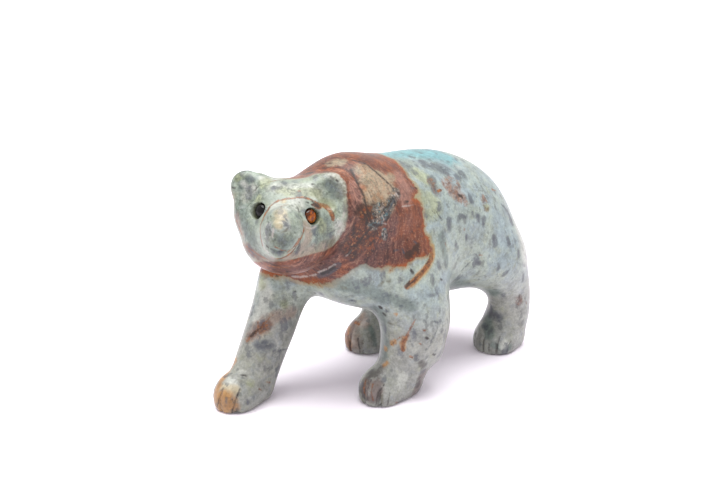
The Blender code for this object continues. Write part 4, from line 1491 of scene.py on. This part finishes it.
def tan_fields(g, grain, colour):
    """Rosy, flaming, dark and tan fields of the patch, the tan one mottled and crazed; also its share."""
    colour, tan = layered(g, grain, colour, PATCH_CLOUDS, 0.1, 0.7)
    colour = g.tinted(colour, (160, 148, 116), tan, g.ramp(grain.blots[2], 0.0, -0.35), 0.6)
    colour = g.tinted(colour, (212, 190, 160), tan, g.ramp(grain.blots[0], 0.05, 0.45), 0.7)
    colour = g.tinted(colour, (188, 132, 84), tan, g.ramp(grain.mottle, 0.0, 0.4), 0.6)
    colour = g.tinted(colour, (170, 116, 80), tan, g.ramp(grain.fine[0], 0.1, 0.5), 0.5)
    threads = g.thread(g.sum(grain.fine[2], g.times(grain.blots[1], 0.5)), 0.08)
    return g.tinted(colour, (104, 84, 66), tan, threads, 0.55), tan


def burnt(g, grain, colour):
    """Charred and glowing stone round the patch's cracks."""
    colour = g.tinted(colour, (66, 46, 38), g.cloud("char", grain.blots[2], 1.6, 0.15, 0.6), 0.85)
    ember = g.times(g.cloud("ember", grain.blots[1], 1.2, 0.1, 0.6), g.ramp(grain.blots[0], -0.4, 0.2))
    spots = g.mixed(g.ramp(grain.fine[1], -0.3, 0.45), seen(66, 44, 36), seen(186, 98, 46))
    colour = g.mixed(g.times(ember, 0.7), colour, spots)
    return g.tinted(colour, (220, 160, 108), ember, g.ramp(g.sum(grain.grit, grain.fine[2]), 0.25, 0.6), 0.6)


def chipped(g, grain, colour):
    """Chips of dark, grey, blue and pale stone in the patch's cracks."""
    crack = g.times(g.cloud("crack", grain.blots[0], 1.2, 0.1, 0.5), g.ramp(grain.blots[2], -0.45, 0.0))
    chips = g.mixed(g.ramp(grain.fine[2], -0.25, 0.25), seen(50, 46, 46), seen(140, 132, 120))
    chips = g.tinted(chips, (104, 152, 156), g.ramp(grain.fine[0], 0.05, 0.3), 0.8)
    chips = g.tinted(chips, (226, 206, 180), g.ramp(g.sum(grain.grit, grain.fine[1]), 0.2, 0.6), 0.8)
    return g.mixed(g.times(crack, 0.9), colour, chips)


def matrix_patch(g, grain):
    """Colour of the red-brown patch, whose streaks follow the neck."""
    bend = g.times(g.noise(grain.place, 10, 2, 0.4), FLOW_BEND)
    along = g.sum(g.number("flow_shell"), bend)
    sides = [g.times(g.number(name), FLOW_SLOWNESS) for name in ("flow_across", "flow_up")]
    flow = g.add("CombineXYZ", {0: along, 1: sides[0], 2: sides[1]}).outputs[0]
    thin = g.centred(g.noise(flow, 1.4, 4, 0.72, 0.3))
    wide = g.centred(g.noise(flow, 4.0, 5, 0.68, 0.6))
    streaky = g.sum(g.times(g.ramp(g.number("flow_shell"), 30, 14), 0.65), 0.35)
    colour = g.mixed(g.ramp(grain.mottle, -0.3, 0.3), seen(128, 76, 59), seen(160, 90, 55))
    colour = g.tinted(colour, (190, 134, 110), g.ramp(wide, 0.0, 0.4), 0.6, streaky)
    colour = g.tinted(colour, (102, 62, 54), g.ramp(wide, -0.05, -0.4), 0.75, streaky)
    colour, tan = tan_fields(g, grain, colour)
    quiet = g.math("SUBTRACT", streaky, g.times(tan, 0.5))
    colour = g.textured(colour, (thin, quiet, 1.1), (grain.fine[0], 0.5), (grain.blots[1], 0.3),
                        (grain.grit, quiet, 0.6))
    colour = g.tinted(colour, (216, 170, 138), g.ramp(thin, 0.14, 0.38), 0.42, quiet)
    colour = g.tinted(colour, (76, 48, 44), g.ramp(thin, -0.14, -0.38), 0.8, quiet)
    colour = g.tinted(colour, (222, 178, 142), g.ramp(grain.grit, 0.24, 0.45), 0.3)
    return chipped(g, grain, burnt(g, grain, colour))


def patched(g, grain, colour):
    """The stone with its patch, whose edge is ragged, rimmed and glowing towards the rear."""
    rear = g.ramp(g.number("flow_shell"), 12, 22)
    ragged = g.sum(0.3, g.times(rear, 0.7))
    edge = g.sum(g.number("patch"), g.times(grain.blots[0], ragged, 1.7), g.times(grain.fine[0], ragged, 0.7))
    patch = g.ramp(edge, 0.35, -0.45)
    rim = g.times(g.ramp(edge, -2.2, -0.3), patch, g.sum(0.15, g.times(rear, 0.85)))
    brown = g.tinted(matrix_patch(g, grain), (184, 96, 42), rim, g.ramp(grain.mottle, -0.4, 0.2), 0.8)
    colour = g.tinted(colour, (190, 160, 108), g.ramp(edge, 1.9, -0.2), g.sum(0.25, g.times(rear, 0.55)))
    return g.mixed(patch, colour, brown)


def marked(g, grain, colour):
    """Veins, flecks, painted shade in toe cuts and under the nose, one painted highlight, and the dark share.
    """
    rust = g.mixed(g.ramp(grain.fine[2], -0.3, 0.4), seen(122, 74, 48), seen(196, 122, 62))
    fade = g.sum(g.times(g.ramp(grain.blots[0], -0.35, 0.15), 0.45), 0.55)
    for name, tint, share, wobble, soft in MARK_TINTS:
        level = g.mark(name, grain.wander, grain.rag, wobble, soft)
        colour = g.mixed(g.times(level, fade, share), colour, seen(*tint) if tint else rust)
    return colour, level


def stone_material():
    """The carving's stone."""
    g = Graph("turquoise_stone")
    grain = Grain(g, g.place())
    colour = layered(g, grain, base_stone(g, grain), STONE_CLOUDS, 0.15, 0.75)[0]
    colour = crusted(g, grain, flecked(g, grain, colour))
    colour, dark = marked(g, grain, patched(g, grain, colour))
    # Painted shade in the toe cuts and, fainter, in the mouth line
    colour = g.tinted(colour, (84, 76, 66), g.ramp(g.number("groove"), 0.25, 0.9), 0.6)
    socket = g.number("socket")
    # Painted shade in the eye sockets, olive on the walls and dark on the floor, partly dark glue
    colour = g.tinted(colour, (132, 134, 100), g.ramp(socket, 0.0, 0.4), 0.7)
    colour = g.tinted(colour, (58, 50, 34), g.ramp(socket, 0.5, 0.95))
    pits = g.sum(g.times(grain.fine[1], 0.35), g.times(grain.mottle, 0.25))
    height = g.math("SUBTRACT", pits, g.times(dark, 0.5))
    roughness = g.sum(STONE_ROUGHNESS, g.times(grain.mottle, 0.14), g.times(dark, 0.12))
    g.shade(Base_Color=colour, Roughness=roughness, Specular_IOR_Level=STONE_SHINE,
            Normal=g.bump(height, PIT_STRENGTH, PIT_HEIGHT))
    return g.material


def bead_material(name, deep, warm, bright, shine):
    """Polished stone with bands of a brighter colour in a deep one."""
    g = Graph(name)
    place = g.place()
    band = g.noise(g.vector("MULTIPLY", place, (1.0, 1.0, 0.45)), 2.4, 3, 0.6, 1.2)
    colour = g.mixed(g.ramp(band, 0.38, 0.58), seen(*deep), seen(*warm))
    colour = g.tinted(colour, bright, g.ramp(band, 0.55, 0.72))
    pits = g.bump(g.noise(place, 0.5, 2, 0.5), BEAD_PIT_STRENGTH, BEAD_PIT_HEIGHT)
    g.shade(Base_Color=colour, Roughness=g.sum(BEAD_ROUGHNESS, g.times(band, 0.1)), Normal=pits,
            Specular_IOR_Level=shine)
    return g.material


def floor_material():
    """Matt white paper."""
    g = Graph("white_paper")
    grain = g.noise(g.place(), 1.5, 3, 0.6)
    g.shade(Base_Color=g.mixed(grain, PAPER_DARK, PAPER_LIGHT), Roughness=PAPER_ROUGHNESS,
            Emission_Color=PAPER_GLOW, Emission_Strength=GLOW_STRENGTH, Specular_IOR_Level=PAPER_SHINE)
    return g.material


# Pieces

# Faces round and along a bead, half the floor's side, and how far it lies under the soles, in metres
BEAD_SEGMENTS = 64
BEAD_RINGS = 32
FLOOR_HALF = 3.0
FLOOR_DROP = 0.00002


def new_piece(name, mesh, material):
    """A piece of the model, with its mesh smooth."""
    mesh.shade_smooth()
    mesh.materials.append(material)
    return new_object(name, mesh)


def ball_net():
    """Places of a ball's points, of radius 1 and ring by ring from its top down, and its faces."""
    around = np.arange(BEAD_SEGMENTS) * 2 * math.pi / BEAD_SEGMENTS
    places, faces = [(0.0, 0.0, 1.0)], []
    for down in np.arange(1, BEAD_RINGS) * math.pi / BEAD_RINGS:
        reach, height = math.sin(down), math.cos(down)
        places += [(reach * math.cos(angle), reach * math.sin(angle), height) for angle in around]
    places.append((0.0, 0.0, -1.0))
    for k in range(BEAD_SEGMENTS):
        upper, beside = 1 + k, 1 + (k + 1) % BEAD_SEGMENTS
        faces.append((0, upper, beside))
        for _ in range(BEAD_RINGS - 2):
            faces.append((upper, upper + BEAD_SEGMENTS, beside + BEAD_SEGMENTS, beside))
            upper, beside = upper + BEAD_SEGMENTS, beside + BEAD_SEGMENTS
        faces.append((upper, len(places) - 1, beside))
    return np.array(places), faces


def eye_bead(name, eye, material):
    """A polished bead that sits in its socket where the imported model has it."""
    facing = eye_frame(eye)
    out, across = -facing[:, 1], facing[:, 0]
    axes = np.stack((across, np.cross(out, across), out), 1)
    centre = SEATS[eye.node] - EYE_SINK * out
    places, faces = ball_net()
    places = centre + (EYE_D / 2 * places * (1, 1, EYE_FLATTENING)) @ axes.T
    mesh = bpy.data.meshes.new(name)
    mesh.from_pydata(in_metres(places).tolist(), [], faces)
    bead = new_piece(name, mesh, material)
    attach(bead, "root")
    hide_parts(eye.node)
    return bead


def add_carving():
    """The stone bear."""
    mesh, points = carving_mesh()
    mesh.name = "carved_stone"
    paint(mesh, points)
    stone = new_piece("carved_stone", mesh, stone_material())
    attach(stone, "root")
    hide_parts("bear_body")


def add_eyes():
    """The two eye stones."""
    amber = bead_material("amber_stone", (62, 34, 14), (176, 86, 22), (240, 146, 50), 0.35)
    dark = bead_material("dark_stone", (18, 15, 14), (34, 30, 28), (52, 46, 42), 0.22)
    eye_bead("amber_bead", LEFT_EYE, amber)
    eye_bead("dark_bead", RIGHT_EYE, dark)


def add_floor():
    """The plain white floor that the bear stands on."""
    mesh = bpy.data.meshes.new("floor")
    far = FLOOR_HALF
    mesh.from_pydata([(-far, -far, 0), (far, -far, 0), (far, far, 0), (-far, far, 0)], [], [(0, 1, 2, 3)])
    mesh.materials.append(floor_material())
    floor = new_object("floor", mesh)
    floor.location.z = -FLOOR_DROP


# Light: the lamps' strengths and width, where they stand to the camera's right, ahead of it and up,
# and the room as it lights the bear and as it is seen
KEY_STRENGTH = 3.9
FILL_STRENGTH = 0.25
LAMP_SPREAD = math.radians(50.0)
KEY_PLACE = (-0.09, -0.02, 1.2)
FILL_PLACE = (0.70, 0.10, 0.8)
ROOM_COLOUR = (1.0, 0.94, 1.0, 1.0)
ROOM_LIGHT = 0.72
BACKDROP_COLOUR = (1.0, 1.0, 1.0, 1.0)
BACKDROP_LIGHT = 1.02


def add_lamp(name, place, strength):
    """A wide soft lamp far away in a direction given from the camera, level with the floor."""
    data = bpy.data.lights.new(name, "SUN")
    data.angle = LAMP_SPREAD
    data.energy = strength
    lamp = new_object(name, data)
    lamp.rotation_mode = "QUATERNION"
    right, ahead, up = place
    towards = right * CAMERA_RIGHT + ahead * CAMERA_AHEAD * (1, 1, 0) + up * np.array((0, 0, 1))
    lamp.rotation_quaternion = Vector(towards).to_track_quat("Z", "Y")


def add_room():
    """A pale room that lights the bear, seen as plain white."""
    world = bpy.data.worlds.new("room")
    bpy.context.scene.world = world
    world.use_nodes = True
    nodes, links = world.node_tree.nodes, world.node_tree.links
    light = nodes["Background"]
    backdrop = nodes.new("ShaderNodeBackground")
    light.inputs["Color"].default_value = ROOM_COLOUR
    light.inputs["Strength"].default_value = ROOM_LIGHT
    backdrop.inputs["Color"].default_value = BACKDROP_COLOUR
    backdrop.inputs["Strength"].default_value = BACKDROP_LIGHT
    path = nodes.new("ShaderNodeLightPath")
    direct = nodes.new("ShaderNodeMath")
    direct.operation = "MAXIMUM"
    either = nodes.new("ShaderNodeMixShader")
    links.new(path.outputs["Is Camera Ray"], direct.inputs[0])
    links.new(path.outputs["Is Glossy Ray"], direct.inputs[1])
    links.new(direct.outputs[0], either.inputs[0])
    links.new(light.outputs[0], either.inputs[1])
    links.new(backdrop.outputs[0], either.inputs[2])
    links.new(either.outputs[0], nodes["World Output"].inputs["Surface"])


def add_lights():
    """A white room, one large soft lamp overhead and a faint one from the camera's right."""
    add_room()
    add_lamp("key", KEY_PLACE, KEY_STRENGTH)
    add_lamp("fill", FILL_PLACE, FILL_STRENGTH)
    bpy.context.scene.view_settings.view_transform = "Standard"


add_camera()
add_floor()
add_lights()
add_carving()
add_eyes()
